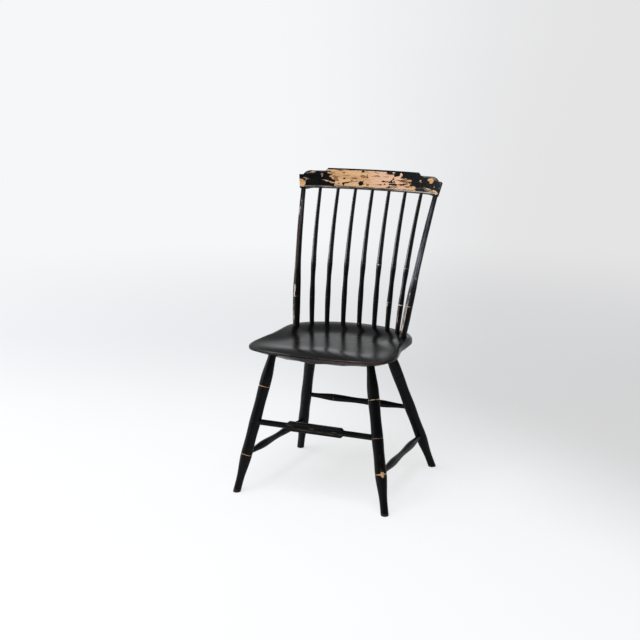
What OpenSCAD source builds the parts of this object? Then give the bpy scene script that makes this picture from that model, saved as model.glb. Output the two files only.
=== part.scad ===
// Step-down Windsor side chair: plank seat, bamboo-turned legs, stretchers,
// spindles and posts, and a bowed three-level crest rail.
// Millimetres, +Z up, the chair faces -Y. The origin lies on the floor,
// in the middle of the chair's own box.

/* [Seat] */
// Height of the spindle deck above the floor
seat_height = 436; // [360:1:530]
// Thickness of the plank at the deck
seat_thickness = 36; // [34:1:50]
// Width across the widest part of the plank
seat_width = 438; // [360:1:530]
// Reach of the plank ahead of the datum between the feet
seat_front = 202; // [180:1:240]
// Reach of the plank behind the datum
seat_back = 180; // [160:1:215]
// Depth of the saddle below the deck
dish_depth = 13; // [4:0.5:16]
// Fall of the front rim below the deck
front_fall = 8.5; // [0:0.5:12]
// Width of the rolled front edge
front_roll = 46; // [20:1:60]
// Width of the eased edge at the sides and the back
side_roll = 9; // [5:1:12]
// Height of the lower arris above the underside
arris_height = 17; // [12:1:20]
// Undercut of the plank below the arris, at the sides and the back
undercut = 17; // [8:1:22]
// Extra undercut at the two front corners
corner_undercut = 30; // [0:1:32]

/* [Legs] */
// Diameter of a leg at the foot
leg_foot_d = 22; // [18:0.5:26]
// Diameter of a leg at its scored rings
leg_ring_d = 33; // [29:0.5:38]
// Diameter of a leg midway between two rings
leg_waist_d = 31; // [26:0.5:34]
// Diameter of a leg where it enters the seat
leg_top_d = 22.5; // [18:0.5:27]
// Depth of the leg sockets in the seat
leg_socket = 22; // [15:1:24]
// Distance from the upper ring to the underside of the seat
leg_neck = 93; // [60:1:110]
// Front leg socket, distance in from the seat's side
front_leg_side = 70; // [66:1:90]
// Front leg socket, distance back from the seat's front
front_leg_fore = 73; // [65:1:95]
// Rear leg socket, distance in from the seat's side
rear_leg_side = 101; // [90:1:120]
// Rear leg socket, distance ahead of the seat's back
rear_leg_aft = 100; // [90:1:115]
// Sideways splay of a front foot from its socket
front_splay_side = 79; // [40:1:95]
// Forward splay of a front foot from its socket
front_splay_fore = 84; // [40:1:100]
// Sideways splay of a rear foot from its socket
rear_splay_side = 102; // [60:1:115]
// Backward splay of a rear foot from its socket
rear_splay_aft = 134; // [80:1:150]

/* [Stretchers] */
// Height of the side stretchers at the front legs
side_front_height = 110; // [80:1:150]
// Height of the side stretchers at the rear legs
side_rear_height = 106; // [80:1:150]
// Height of the front stretcher
front_height = 205; // [180:1:240]
// Height of the rear stretcher
rear_height = 201; // [180:1:240]
// Diameter of a stretcher where it enters a leg
stretcher_end_d = 13.5; // [11:0.5:16]
// Diameter of a stretcher at its two swells
stretcher_swell_d = 22; // [18:0.5:26]
// Diameter of a stretcher at its middle
stretcher_waist_d = 17; // [13:0.5:20]
// Diameter of the front stretcher's round arms
front_arm_d = 17; // [14:0.5:20]
// Length of the tablet in the front stretcher
tablet_length = 178; // [120:1:200]
// Height of the tablet
tablet_height = 28; // [22:0.5:36]
// Thickness of the tablet
tablet_thickness = 13; // [9:0.5:16]
// Size of the tablet's clipped corners
tablet_clip = 9; // [4:0.5:10]

/* [Back] */
// Rise of the crest rail's lower edge above the deck
back_rise = 391; // [320:1:470]
// Lean of the back, from the middle spindle's foot to its top
back_lean = 100; // [50:1:120]
// Distance of the middle spindle's foot from the seat's back edge
spindle_margin = 23; // [18:1:30]
// Inset of the spindle arc from the seat's sides
arc_inset = 27; // [24:1:40]
// Depth of the spindle arc, front to back
arc_depth = 138; // [110:1:150]
// Angle along the arc from one spindle to the next
spindle_step = 15.1; // [14:0.1:15.5]
// Distance of a post's foot in from the seat's side
post_side = 50; // [44:1:56]
// Distance of a post's foot ahead of the seat's back
post_aft = 105; // [95:1:120]
// Spacing of the spindles at the crest rail
top_spacing = 53.6; // [44:0.1:58]
// Forward bend of the spindles at half height
spindle_bend = 16; // [0:1:24]
// Forward bend of the posts at half height
post_bend = 12; // [0:1:16]

/* [Spindles] */
// Diameter of a spindle at the seat
spindle_foot_d = 14.4; // [11:0.1:17.5]
// Diameter of a spindle at its scored rings
spindle_ring_d = 16.2; // [13:0.1:19.5]
// Diameter of a spindle between its rings
spindle_waist_d = 13.8; // [10:0.1:16]
// Diameter of a spindle's slim part, below the crest rail
spindle_neck_d = 11.6; // [9:0.1:13]
// Diameter of a spindle where it enters the crest rail
spindle_top_d = 10.4; // [8:0.1:12]
// Height of the lower ring above the deck
spindle_ring_low = 80; // [60:1:100]
// Height of the upper ring above the deck
spindle_ring_high = 180; // [150:1:210]
// Depth of the spindle and post sockets in the seat
seat_socket = 22; // [15:1:26]

/* [Posts] */
// Diameter of a post at the seat
post_foot_d = 20; // [17:0.5:23]
// Diameter of a post at its scored ring
post_ring_d = 22.6; // [19:0.1:26]
// Diameter of a post at half height
post_mid_d = 17.4; // [14:0.1:20]
// Diameter of a post at the crest rail
post_top_d = 14.4; // [12.5:0.1:16]
// Height of the scored ring above the deck
post_ring_height = 108; // [80:1:140]
// Height above the deck at which the shaved front facet begins
facet_start = 140; // [120:1:170]
// Diameter of the post tenon in the crest rail
post_tenon_d = 9.4; // [8:0.1:11]
// Distance from a post's axis to the crest rail's outer corner
post_end = 17; // [15:1:22]

/* [Crest rail] */
// Length of the rail between its outer upper corners
crest_length = 453; // [420:1:545]
// Height of the rail at the middle
crest_height = 61; // [56:1:80]
// Length of the raised middle
tablet_top = 290; // [230:1:310]
// Height of each step down from the raised middle
step_drop = 9; // [5:0.5:14]
// Height of the short level above each post
ear_height = 39; // [38:1:46]
// Radius of the rail's bow
bow_radius = 680; // [500:10:1200]
// Backward rake of the rail
crest_rake = 24; // [10:0.5:30]
// Wood left in front of and behind a spindle socket
crest_cheek = 1.5; // [1.2:0.1:4]
// Depth of the sockets in the rail
crest_socket = 39; // [20:1:42]
// Diameter of the pegs that lock the joints
peg_d = 4.4; // [3:0.1:5]
// Depth of the scored bead along the lower edge
bead_depth = 0.8; // [0.3:0.1:1.2]
// Height of the scored bead above the lower edge
bead_height = 5; // [4:0.5:12]

/* [Fits] */
// Clearance on the diameter of every socket
fit = 0.2; // [0.1:0.05:0.5]
// Free depth below the end of every tenon
end_gap = 1; // [0.5:0.1:2]

/* [Hidden] */
$fn = 96;
spindle_count = 7;
spindle_middle = 4;
black = [0.07, 0.07, 0.07];
bare_wood = [0.85, 0.67, 0.5];

left = -1;
right = 1;
underside = seat_height - seat_thickness;
arris_z = underside + arris_height;
// Turn of each round part about its own axis, which keeps its seam clear of the level cuts
seam_turn = 30;
score_depth = 0.9;
score_width = 2.2;

// Small helpers
function unit(v) = v / norm(v);
function ease(a, b, t) = a + (b - a) * (1 - cos(180 * t)) / 2;
function blend(a, b, t) = a + (b - a) * t;
function clamp01(t) = min(1, max(0, t));
function flip(p) = [-p[0], p[1]];
function backwards(list) = [for (i = [len(list) - 1 : -1 : 0]) list[i]];

// Diameter at s along a turning whose stations are [s, diameter], eased between them
function turned_d(stations, s, i = 0) =
    i >= len(stations) - 2 || s <= stations[i + 1][0]
    ? ease(stations[i][1], stations[i + 1][1],
           clamp01((s - stations[i][0]) / (stations[i + 1][0] - stations[i][0])))
    : turned_d(stations, s, i + 1);

// Places a part modelled along +Z with its base at a and its top towards b
module along(a, b) {
    d = b - a;
    translate(a)
        rotate([0, acos(d[2] / norm(d)), atan2(d[1], d[0])])
            children();
}

// Share of a bent turning over which its end counts as straight
nearby = 0.01;
// How far a cutting solid starts outside the wood
clear = 20;
// Size of a cutting block that passes right through
through = 200;

// Straight pin from a, towards b, from one distance to another
module pin(a, b, from, to, d) {
    along(a, b)
        translate([0, 0, from])
            rotate(seam_turn)
                cylinder(h = to - from, d = d);
}

/* ---------- Crest rail frame: x along, n through, u up the rail ---------- */
socket_top_d = spindle_top_d + fit;
crest_thickness = socket_top_d + 2 * crest_cheek;
front_radius = bow_radius - crest_thickness / 2;
back_radius = bow_radius + crest_thickness / 2;
spindle_back_y = seat_back - spindle_margin;
crest_base = [0, spindle_back_y + back_lean, seat_height + back_rise];

function crest_n(x, r) = sqrt(r * r - x * x) - bow_radius;
function crest_point(x, u, r) =
    let (n = crest_n(x, r))
    crest_base + [x, n * cos(crest_rake) + u * sin(crest_rake), u * cos(crest_rake) - n * sin(crest_rake)];
crest_up = [0, sin(crest_rake), cos(crest_rake)];

module crest_frame() {
    translate(crest_base)
        rotate([-crest_rake, 0, 0])
            children();
}

/* ---------- Where the joints lie ---------- */
function arc_point(angle) = [
    (seat_width / 2 - arc_inset) * sin(angle),
    spindle_back_y - arc_depth * (1 - cos(angle)),
    seat_height
];
function spindle_foot(i) = arc_point((i - spindle_middle) * spindle_step);
function spindle_top(i) =
    let (x = (i - spindle_middle) * top_spacing)
    crest_point(x, lower_edge(x), bow_radius);
function post_foot(side) = [side * (seat_width / 2 - post_side), seat_back - post_aft, seat_height];
post_top_x = crest_length / 2 - post_end;
function post_top(side) = crest_point(side * post_top_x, lower_edge(post_top_x), bow_radius);

front_socket_x = seat_width / 2 - front_leg_side;
front_socket_y = front_leg_fore - seat_front;
rear_socket_x = seat_width / 2 - rear_leg_side;
rear_socket_y = seat_back - rear_leg_aft;
function front_top(side) = [side * front_socket_x, front_socket_y, underside];
function rear_top(side) = [side * rear_socket_x, rear_socket_y, underside];
function front_foot(side) = [side * (front_socket_x + front_splay_side), front_socket_y - front_splay_fore, 0];
function rear_foot(side) = [side * (rear_socket_x + rear_splay_side), rear_socket_y + rear_splay_aft, 0];
function at_height(foot, top, z) = foot + (top - foot) * (z / underside);
function front_axis(side, z) = at_height(front_foot(side), front_top(side), z);
function rear_axis(side, z) = at_height(rear_foot(side), rear_top(side), z);

// Middle of the chair's box, front to back
foot_reach = leg_foot_d / 2 * norm([1, front_splay_fore / underside]);
box_front = front_socket_y - front_splay_fore - foot_reach;
box_back = crest_point(0, crest_height, back_radius)[1];
box_middle = (box_front + box_back) / 2;

module in_frame() {
    translate([0, -box_middle, 0])
        children();
}

/* ---------- Seat ---------- */
// Half of the plank's outline from the front to the back, as shares of
// half the width and of the reach ahead of or behind the datum
seat_shape = [
    [0, -1], [0.46, -0.98], [0.76, -0.935], [0.915, -0.855], [0.99, -0.71], [1, -0.54],
    [0.97, -0.37], [0.925, -0.15], [0.91, 0.06], [0.91, 0.25], [0.9, 0.42],
    [0.845, 0.57], [0.73, 0.73], [0.48, 0.89], [0.25, 0.975], [0, 1]
];
shape_count = len(seat_shape);
outline_steps = 4;
seat_sides = 2 * (shape_count - 1) * outline_steps;
seat_center = [0, spindle_back_y - arc_depth];

// Control point i of the closed outline, the second half mirrored
function shape_point(i) =
    let (k = (i + 2 * (shape_count - 1)) % (2 * (shape_count - 1)))
    k < shape_count ? seat_shape[k] : flip(seat_shape[2 * (shape_count - 1) - k]);
function sized(p) = [p[0] * seat_width / 2, p[1] * (p[1] < 0 ? seat_front : seat_back)];
// Catmull-Rom curve through the control points
function spline(a, b, c, d, t) =
    0.5 * (2 * b + (c - a) * t + (2 * a - 5 * b + 4 * c - d) * t * t + (3 * b - a - 3 * c + d) * t * t * t);
function outline_point(j) =
    let (i = floor(j / outline_steps), t = j / outline_steps - i)
    sized(spline(shape_point(i - 1), shape_point(i), shape_point(i + 1), shape_point(i + 2), t));

// How far a direction, in degrees away from the back, counts as the front,
// as a front corner, as fallen rim and as spindle deck
front_way = 110;
corner_way = 132;
corner_spread = 26;
fall_way = 78;
fall_spread = 60;
deck_way = 74;
deck_fade = 14;
function frontness(a) = pow(clamp01((abs(a) - front_way) / (180 - front_way)), 1.3);
function cornerness(a) = exp(-pow((abs(a) - corner_way) / corner_spread, 2));
function fallness(a) = ease(0, 1, clamp01((abs(a) - fall_way) / fall_spread));
function deckness(a) = clamp01((deck_way + deck_fade - abs(a)) / deck_fade);

deck_step = 18;
deck_slope = 42;
rim_slope = 70;
rim_flat = 2;
front_undercut_less = 4;
front_face = 1;
dish_rings = 7;
floor_rings = 3;
roll_rings = 5;

// Levels of one spoke of the seat, from the middle of the top to the middle of
// the underside, as [radius, height]
function spoke(j) =
    let (
        p = outline_point(j),
        out = norm(p - seat_center),
        a = atan2(p[0], p[1] - seat_center[1]),
        f = frontness(a),
        roll = blend(side_roll, front_roll, f),
        roll_r = out - roll,
        arc_r = 1 / norm([sin(a) / (seat_width / 2 - arc_inset - deck_step), cos(a) / (arc_depth - deck_step)]),
        deck_r = min(arc_r, roll_r - rim_flat),
        rim_r = blend(roll_r - rim_flat, deck_r, deckness(a)),
        floor_r = rim_r - blend(rim_slope, deck_slope, deckness(a)),
        low = seat_height - dish_depth,
        rim_z = seat_height - front_fall * fallness(a),
        side_face = seat_thickness - arris_height - side_roll,
        edge_z = arris_z + blend(side_face, front_face, clamp01(2 * f)),
        cut = undercut + corner_undercut * cornerness(a) - front_undercut_less * f
    )
    concat(
        [for (k = [1 : floor_rings]) [floor_r * k / floor_rings, low]],
        [for (k = [1 : dish_rings])
            [blend(floor_r, rim_r, k / dish_rings), ease(low, rim_z, k / dish_rings)]],
        [[roll_r, rim_z]],
        [for (k = [1 : roll_rings])
            let (q = 90 * k / roll_rings)
            [roll_r + roll * sin(q), edge_z + (rim_z - edge_z) * cos(q)]],
        [[out, arris_z], [out - cut, underside]]
    );

spoke_points = floor_rings + dish_rings + 1 + roll_rings + 2;
module seat_plank() {
    spokes = [for (j = [0 : seat_sides - 1]) spoke(j)];
    ways = [for (j = [0 : seat_sides - 1]) unit(outline_point(j) - seat_center)];
    points = concat(
        [for (j = [0 : seat_sides - 1], k = [0 : spoke_points - 1])
            [seat_center[0] + ways[j][0] * spokes[j][k][0],
             seat_center[1] + ways[j][1] * spokes[j][k][0],
             spokes[j][k][1]]],
        [[seat_center[0], seat_center[1], seat_height - dish_depth]],
        [[seat_center[0], seat_center[1], underside]]
    );
    top_middle = seat_sides * spoke_points;
    function at(j, k) = (j % seat_sides) * spoke_points + k;
    faces = concat(
        [for (j = [0 : seat_sides - 1]) [top_middle, at(j + 1, 0), at(j, 0)]],
        [for (j = [0 : seat_sides - 1]) [top_middle + 1, at(j, spoke_points - 1), at(j + 1, spoke_points - 1)]],
        [for (j = [0 : seat_sides - 1], k = [0 : spoke_points - 2]) [at(j, k), at(j + 1, k), at(j + 1, k + 1)]],
        [for (j = [0 : seat_sides - 1], k = [0 : spoke_points - 2]) [at(j, k), at(j + 1, k + 1), at(j, k + 1)]]
    );
    polyhedron(points, faces);
}

module seat() {
    color(black)
        in_frame()
            difference() {
                seat_plank();
                for (i = [1 : spindle_count])
                    pin(spindle_foot(i), spindle_at(i, nearby), -seat_socket, seat_socket, spindle_foot_d + fit);
                for (side = [left, right]) {
                    pin(post_foot(side), post_at(side, nearby), -seat_socket, seat_socket, post_foot_d + fit);
                    pin(front_top(side), front_foot(side), -leg_socket, leg_socket, leg_top_d + fit);
                    pin(rear_top(side), rear_foot(side), -leg_socket, leg_socket, leg_top_d + fit);
                }
            }
}

/* ---------- Bent turnings: spindles and posts ---------- */
function bent(a, b, bend, t) = a + (b - a) * t - [0, 4 * bend * t * (1 - t), 0];
function bent_way(a, b, bend, t) = unit(b - a - [0, 4 * bend * (1 - 2 * t), 0]);
function spindle_at(i, t) = bent(spindle_foot(i), spindle_top(i), spindle_bend, t);
function post_at(side, t) = bent(post_foot(side), post_top(side), post_bend, t);

// One ring of a bent turning; flat is how far the front facet lies from the axis
function ring(middle, way, r, flat, sides) =
    let (
        fore = unit([0, -1, 0] - way * (way * [0, -1, 0])),
        across = cross(fore, way)
    )
    [for (k = [0 : sides - 1])
        let (a = 360 * k / sides)
        middle + across * (r * cos(a)) + fore * min(r * sin(a), flat)];

// Closed skin over rings that have the same number of points
module skin(rings) {
    sides = len(rings[0]);
    last = len(rings) - 1;
    points = [for (r = rings) each r];
    function at(i, k) = i * sides + k % sides;
    faces = concat(
        [[for (k = [0 : sides - 1]) at(0, k)]],
        [[for (k = [sides - 1 : -1 : 0]) at(last, k)]],
        [for (i = [0 : last - 1], k = [0 : sides - 1]) [at(i, k), at(i + 1, k), at(i + 1, k + 1)]],
        [for (i = [0 : last - 1], k = [0 : sides - 1]) [at(i, k), at(i + 1, k + 1), at(i, k + 1)]]
    );
    polyhedron(points, faces);
}

// How much slimmer a bent turning is than the tenon that starts or ends it
tuck = 0.2;
// How far a tenon runs into the turning
foot_lap = 4;
top_lap = 2;
post_foot_lap = 5;
post_top_lap = 8;
spindle_sides = 14;
spindle_rings = 30;
taper_start = 26;
taper_share = 0.6;
neck_length = 40;
spindle_stations = [
    [0, spindle_foot_d - tuck],
    [spindle_ring_low, spindle_ring_d],
    [(spindle_ring_low + spindle_ring_high) / 2, spindle_waist_d],
    [spindle_ring_high, spindle_ring_d],
    [spindle_ring_high + taper_start, blend(spindle_neck_d, spindle_ring_d, taper_share)],
    [back_rise - neck_length, spindle_neck_d],
    [back_rise, spindle_top_d - tuck]
];

module spindle(i) {
    a = spindle_foot(i);
    b = spindle_top(i);
    color(black)
        in_frame()
            difference() {
                union() {
                    skin([for (k = [0 : spindle_rings])
                        let (t = k / spindle_rings)
                        ring(spindle_at(i, t), bent_way(a, b, spindle_bend, t),
                             turned_d(spindle_stations, t * back_rise) / 2, spindle_ring_d, spindle_sides)]);
                    pin(a, spindle_at(i, nearby), end_gap - seat_socket, foot_lap, spindle_foot_d);
                    pin(b, b + crest_up, -top_lap, crest_socket - end_gap, spindle_top_d);
                }
                peg_holes();
            }
}

post_sides = 24;
post_rings = 32;
taper_way = 0.75;
taper_left = 0.7;
post_stations = [
    [0, post_foot_d - tuck],
    [post_ring_height / 2, post_ring_d],
    [post_ring_height, post_ring_d],
    [back_rise / 2, post_mid_d],
    [back_rise * taper_way, blend(post_top_d, post_mid_d, taper_left)],
    [back_rise, post_top_d]
];
facet_mid = 0.78;
facet_end = 0.6;
facet_length = 60;
overrun = 0.02;

// Distance of the front facet from the axis, as a share of the radius
function facet_share(h) =
    h < facet_start
    ? 1
    : h < facet_start + facet_length
    ? ease(1, facet_mid, (h - facet_start) / facet_length)
    : blend(facet_mid, facet_end, (h - facet_start - facet_length) / (back_rise - facet_start - facet_length));

module post(side) {
    a = post_foot(side);
    b = post_top(side);
    color(black)
        in_frame()
            difference() {
                union() {
                    difference() {
                        skin([for (k = [0 : post_rings])
                            let (
                                t = (1 + overrun) * k / post_rings,
                                r = turned_d(post_stations, t * back_rise) / 2
                            )
                            ring(post_at(side, t), bent_way(a, b, post_bend, t), r,
                                 r * facet_share(t * back_rise), post_sides)]);
                        crest_frame()
                            crest_silhouette();
                    }
                    pin(a, post_at(side, nearby), end_gap - seat_socket, post_foot_lap, post_foot_d);
                    pin(b, b + crest_up, -post_top_lap, crest_socket - end_gap, post_tenon_d);
                }
                peg_holes();
            }
}

/* ---------- Crest rail ---------- */
step_slope = 6;
ovolo_width = 30;
ear_width = 13;
ear_dip = 4;
dip_start = 26;
dip_run = 20;
end_slant = 8;
edge_steps = 24;
ovolo_steps = 8;

// Fall that keeps a long edge of the raked, bowed rail level
function level_fall(x) = x * x * sin(crest_rake) / (2 * bow_radius);
function lower_edge(x) =
    -level_fall(x) - ear_dip * ease(0, 1, clamp01((abs(x) - post_top_x + dip_start) / dip_run));
ear_x = crest_length / 2 - ear_width;
shoulder_x = ear_x - ovolo_width;
function shoulder(x) = crest_height - step_drop - level_fall(x);

// Right half of the rail's outline, from the middle of the lower edge
// round to the middle of the upper one
function half_outline() =
    let (
        low_end = crest_length / 2 - end_slant,
        ear_u = ear_height - level_fall(ear_x)
    )
    concat(
        [for (k = [0 : edge_steps]) let (x = low_end * k / edge_steps) [x, lower_edge(x)]],
        [[crest_length / 2, ear_height - level_fall(crest_length / 2)]],
        [for (k = [0 : ovolo_steps])
            let (q = 90 * k / ovolo_steps)
            [shoulder_x + ovolo_width * cos(q), blend(ear_u, shoulder(shoulder_x), sin(q))]],
        [[tablet_top / 2 + step_slope, shoulder(tablet_top / 2 + step_slope)]],
        [for (k = [edge_steps / 2 : -1 : 0])
            let (x = tablet_top * k / edge_steps)
            [x, crest_height - level_fall(x)]]
    );
function whole_outline() =
    let (half = half_outline(), n = len(half))
    concat(half, [for (k = [n - 2 : -1 : 1]) flip(half[k])]);

// Prism of the rail's outline, right through its thickness
module crest_silhouette() {
    rotate([90, 0, 0])
        linear_extrude(height = through, center = true)
            polygon(whole_outline());
}

// Upright cylinder about the axis of the bow
module bow(r) {
    translate([0, -bow_radius, -crest_height])
        cylinder(h = 3 * crest_height, r = r, $fn = 360);
}

bead_width = 1.4;
bead_overrun = 1.01;
module bead() {
    ends = crest_length / 2 - end_slant;
    xs = [for (k = [-edge_steps : edge_steps]) ends * k / edge_steps];
    strip = concat(
        [for (x = xs) [x * bead_overrun, lower_edge(x) + bead_height]],
        [for (x = backwards(xs)) [x * bead_overrun, lower_edge(x) + bead_height + bead_width]]
    );
    intersection() {
        rotate([90, 0, 0])
            linear_extrude(height = through, center = true)
                polygon(strip);
        bow(front_radius + bead_depth);
    }
}

// Each peg's place on the rail, as [x, u]
post_peg_x = post_top_x - 5;
post_peg_u = 8;
spindle_peg_x = 3 * top_spacing;
peg_places = [
    [-post_peg_x, post_peg_u],
    [1.5 - spindle_peg_x, 27],
    [spindle_peg_x - 3, 24],
    [post_peg_x, post_peg_u]
];
peg_depth = 11;
peg_proud = 0.3;

module peg_shaft(i, from, to, d) {
    place = peg_places[i];
    crest_frame()
        translate([place[0], crest_n(place[0], front_radius), place[1]])
            rotate([-90, 0, 0])
                translate([0, 0, from])
                    cylinder(h = to - from, d = d);
}

module peg_holes() {
    for (i = [0 : len(peg_places) - 1])
        peg_shaft(i, -3, peg_depth + end_gap, peg_d + fit);
}

module peg(i) {
    color(bare_wood)
        in_frame()
            peg_shaft(i, -peg_proud, peg_depth, peg_d);
}

module crest_rail() {
    color(bare_wood)
        in_frame()
            difference() {
                crest_frame()
                    difference() {
                        intersection() {
                            bow(back_radius);
                            crest_silhouette();
                        }
                        bow(front_radius);
                        bead();
                    }
                for (i = [1 : spindle_count])
                    pin(spindle_top(i), spindle_top(i) + crest_up, -clear, crest_socket, socket_top_d);
                for (side = [left, right])
                    pin(post_top(side), post_top(side) + crest_up, -clear, crest_socket, post_tenon_d + fit);
                peg_holes();
            }
}

/* ---------- Turned legs and stretchers ---------- */
turn_steps = 8;

function sorted(list) =
    len(list) < 2
    ? list
    : let (
        pivot = list[floor(len(list) / 2)],
        less = [for (v = list) if (v < pivot) v],
        same = [for (v = list) if (v == pivot) v],
        more = [for (v = list) if (v > pivot) v]
    )
    concat(sorted(less), [same[0]], sorted(more));

function near_score(s, scores) = len([for (c = scores) if (abs(s - c) < score_width) c]) > 0;
function score_cut(s, scores) =
    max([for (c = scores) 2 * score_depth * clamp01(1 - abs(s - c) * 2 / score_width)]);

// Turning about +Z from s = from to s = to, with V-shaped scores
module turning(stations, scores, from, to) {
    smooth = [for (i = [0 : len(stations) - 2], k = [0 : turn_steps])
        let (s = blend(stations[i][0], stations[i + 1][0], k / turn_steps))
        if (s > from + 0.5 && s < to - 0.5 && !near_score(s, scores)) s];
    cuts = [for (c = scores, k = [-1, 0, 1]) c + k * score_width / 2];
    stops = sorted(concat([from, to], smooth, cuts));
    rotate(seam_turn)
        rotate_extrude()
            polygon(concat(
                [[0, from]],
                [for (s = stops) [(turned_d(stations, s) - score_cut(s, scores)) / 2, s]],
                [[0, to]]
            ));
}

foot_run = 32;
neck_bulge = 20;
below_floor = 12;

module leg(foot, top, ring_low, ring_mid) {
    run = norm(top - foot) / underside;
    ring_high = underside - leg_neck;
    stations = [
        [-below_floor, leg_foot_d],
        [foot_run * run, leg_foot_d],
        [ring_low * run, leg_ring_d],
        [(ring_low + ring_mid) / 2 * run, leg_waist_d],
        [ring_mid * run, leg_ring_d],
        [(ring_mid + ring_high) / 2 * run, leg_waist_d],
        [ring_high * run, leg_ring_d],
        [(ring_high + neck_bulge) * run, leg_ring_d],
        [underside * run, leg_top_d],
        [underside * run + leg_socket - end_gap, leg_top_d]
    ];
    along(foot, top)
        turning(stations, [ring_low * run, ring_mid * run, ring_high * run],
                -below_floor, underside * run + leg_socket - end_gap);
}

module below_ground() {
    translate([0, 0, -through / 2])
        cube([4 * seat_width, 4 * seat_width, through], center = true);
}

socket_stop = 3;
socket_reach = 40;
// Socket for a stretcher that runs from a to b, in the leg at a
module stretcher_socket(a, b, d) {
    pin(a, b, socket_stop, socket_reach, d + fit);
}

module leg_front(side) {
    color(black)
        in_frame()
            difference() {
                leg(front_foot(side), front_top(side), side_front_height, front_height);
                below_ground();
                stretcher_socket(front_axis(side, side_front_height), rear_axis(side, side_rear_height),
                                 stretcher_end_d);
                stretcher_socket(front_axis(side, front_height), front_axis(-side, front_height), front_arm_d);
            }
}

module leg_rear(side) {
    color(black)
        in_frame()
            difference() {
                leg(rear_foot(side), rear_top(side), side_rear_height, rear_height);
                below_ground();
                stretcher_socket(rear_axis(side, side_rear_height), front_axis(side, side_front_height),
                                 stretcher_end_d);
                stretcher_socket(rear_axis(side, rear_height), rear_axis(-side, rear_height), stretcher_end_d);
            }
}

swell_share = 0.28;
lead = 22;
module swelled_stretcher(a, b) {
    length = norm(b - a);
    swell = swell_share * length;
    stop = socket_stop + end_gap;
    along(a, b)
        turning([
            [0, stretcher_end_d],
            [lead, stretcher_end_d],
            [swell, stretcher_swell_d],
            [length / 2, stretcher_waist_d],
            [length - swell, stretcher_swell_d],
            [length - lead, stretcher_end_d],
            [length, stretcher_end_d]
        ], [swell, length - swell], stop, length - stop);
}

module stretcher_side(side) {
    color(black)
        in_frame()
            swelled_stretcher(front_axis(side, side_front_height), rear_axis(side, side_rear_height));
}

module stretcher_rear() {
    color(black)
        in_frame()
            swelled_stretcher(rear_axis(left, rear_height), rear_axis(right, rear_height));
}

module clipped_tablet() {
    x = tablet_length / 2;
    z = tablet_height / 2;
    c = tablet_clip;
    rotate([90, 0, 0])
        linear_extrude(height = tablet_thickness, center = true)
            polygon([
                [-x + c, -z], [x - c, -z], [x, -z + c], [x, z - c],
                [x - c, z], [-x + c, z], [-x, z - c], [-x, -z + c]
            ]);
}

module stretcher_front() {
    a = front_axis(left, front_height);
    b = front_axis(right, front_height);
    stop = socket_stop + end_gap;
    color(black)
        in_frame()
            union() {
                pin(a, b, stop, norm(b - a) - stop, front_arm_d);
                translate((a + b) / 2)
                    clipped_tablet();
            }
}

seat();
crest_rail();
post(left);  // post_left
post(right);  // post_right
for (i = [1 : spindle_count])
    spindle(i);
leg_front(left);  // leg_front_left
leg_front(right);  // leg_front_right
leg_rear(left);  // leg_rear_left
leg_rear(right);  // leg_rear_right
stretcher_front();
stretcher_rear();
stretcher_side(left);  // stretcher_left
stretcher_side(right);  // stretcher_right
peg(0);  // peg_post_left
peg(1);  // peg_spindle_left
peg(2);  // peg_spindle_right
peg(3);  // peg_post_right
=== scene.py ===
"""Looks of an old step-down Windsor side chair: worn black paint and a crest rail peeled to bare wood.

Each visible piece is a fine skin over its CAD node. The node's surface is measured with rays, so every
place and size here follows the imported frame. Metres, +Z up, the chair faces -Y.
"""
import math
import bmesh
import bpy
import numpy as np
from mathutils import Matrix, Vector, noise
from mathutils.bvhtree import BVHTree


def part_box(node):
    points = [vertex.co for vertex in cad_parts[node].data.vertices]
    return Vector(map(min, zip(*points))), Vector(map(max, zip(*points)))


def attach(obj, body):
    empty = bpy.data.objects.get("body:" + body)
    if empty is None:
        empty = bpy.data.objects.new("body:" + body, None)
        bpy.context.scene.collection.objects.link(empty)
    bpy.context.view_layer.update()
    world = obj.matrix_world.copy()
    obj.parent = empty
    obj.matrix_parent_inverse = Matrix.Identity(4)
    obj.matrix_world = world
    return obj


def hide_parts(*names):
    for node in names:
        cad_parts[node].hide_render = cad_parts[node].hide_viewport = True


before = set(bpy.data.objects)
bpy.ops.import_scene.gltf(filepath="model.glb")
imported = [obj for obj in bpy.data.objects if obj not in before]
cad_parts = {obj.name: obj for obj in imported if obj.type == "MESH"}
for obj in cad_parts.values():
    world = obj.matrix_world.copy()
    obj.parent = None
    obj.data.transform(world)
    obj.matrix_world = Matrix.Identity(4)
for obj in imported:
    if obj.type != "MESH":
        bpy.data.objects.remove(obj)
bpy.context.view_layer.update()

MM = 0.001
FRONT = Vector((0, -1, 0))
UP = Vector((0, 0, 1))
RIGHT = Vector((1, 0, 0))
SPINDLES = [f"spindle_{i}" for i in range(1, 8)]
POSTS = ["post_left", "post_right"]
LEGS = ["leg_front_left", "leg_front_right", "leg_rear_left", "leg_rear_right"]
BOBBINS = ["stretcher_rear", "stretcher_left", "stretcher_right"]
PEGS = ["peg_post_left", "peg_spindle_left", "peg_spindle_right", "peg_post_right"]


# ---------- Camera ----------
CAMERA_PLACE = (1.397, -3.3653, 1.3554)
CAMERA_TURN = (76.438, 0.0, 23.597)
CAMERA_LENS = 72.76


def make_camera():
    data = bpy.data.cameras.new("camera")
    data.lens = CAMERA_LENS
    data.sensor_width = 36
    data.clip_end = 100
    camera = bpy.data.objects.new("camera", data)
    camera.location = CAMERA_PLACE
    camera.rotation_euler = [math.radians(a) for a in CAMERA_TURN]
    bpy.context.scene.collection.objects.link(camera)
    bpy.context.scene.camera = camera


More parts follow.
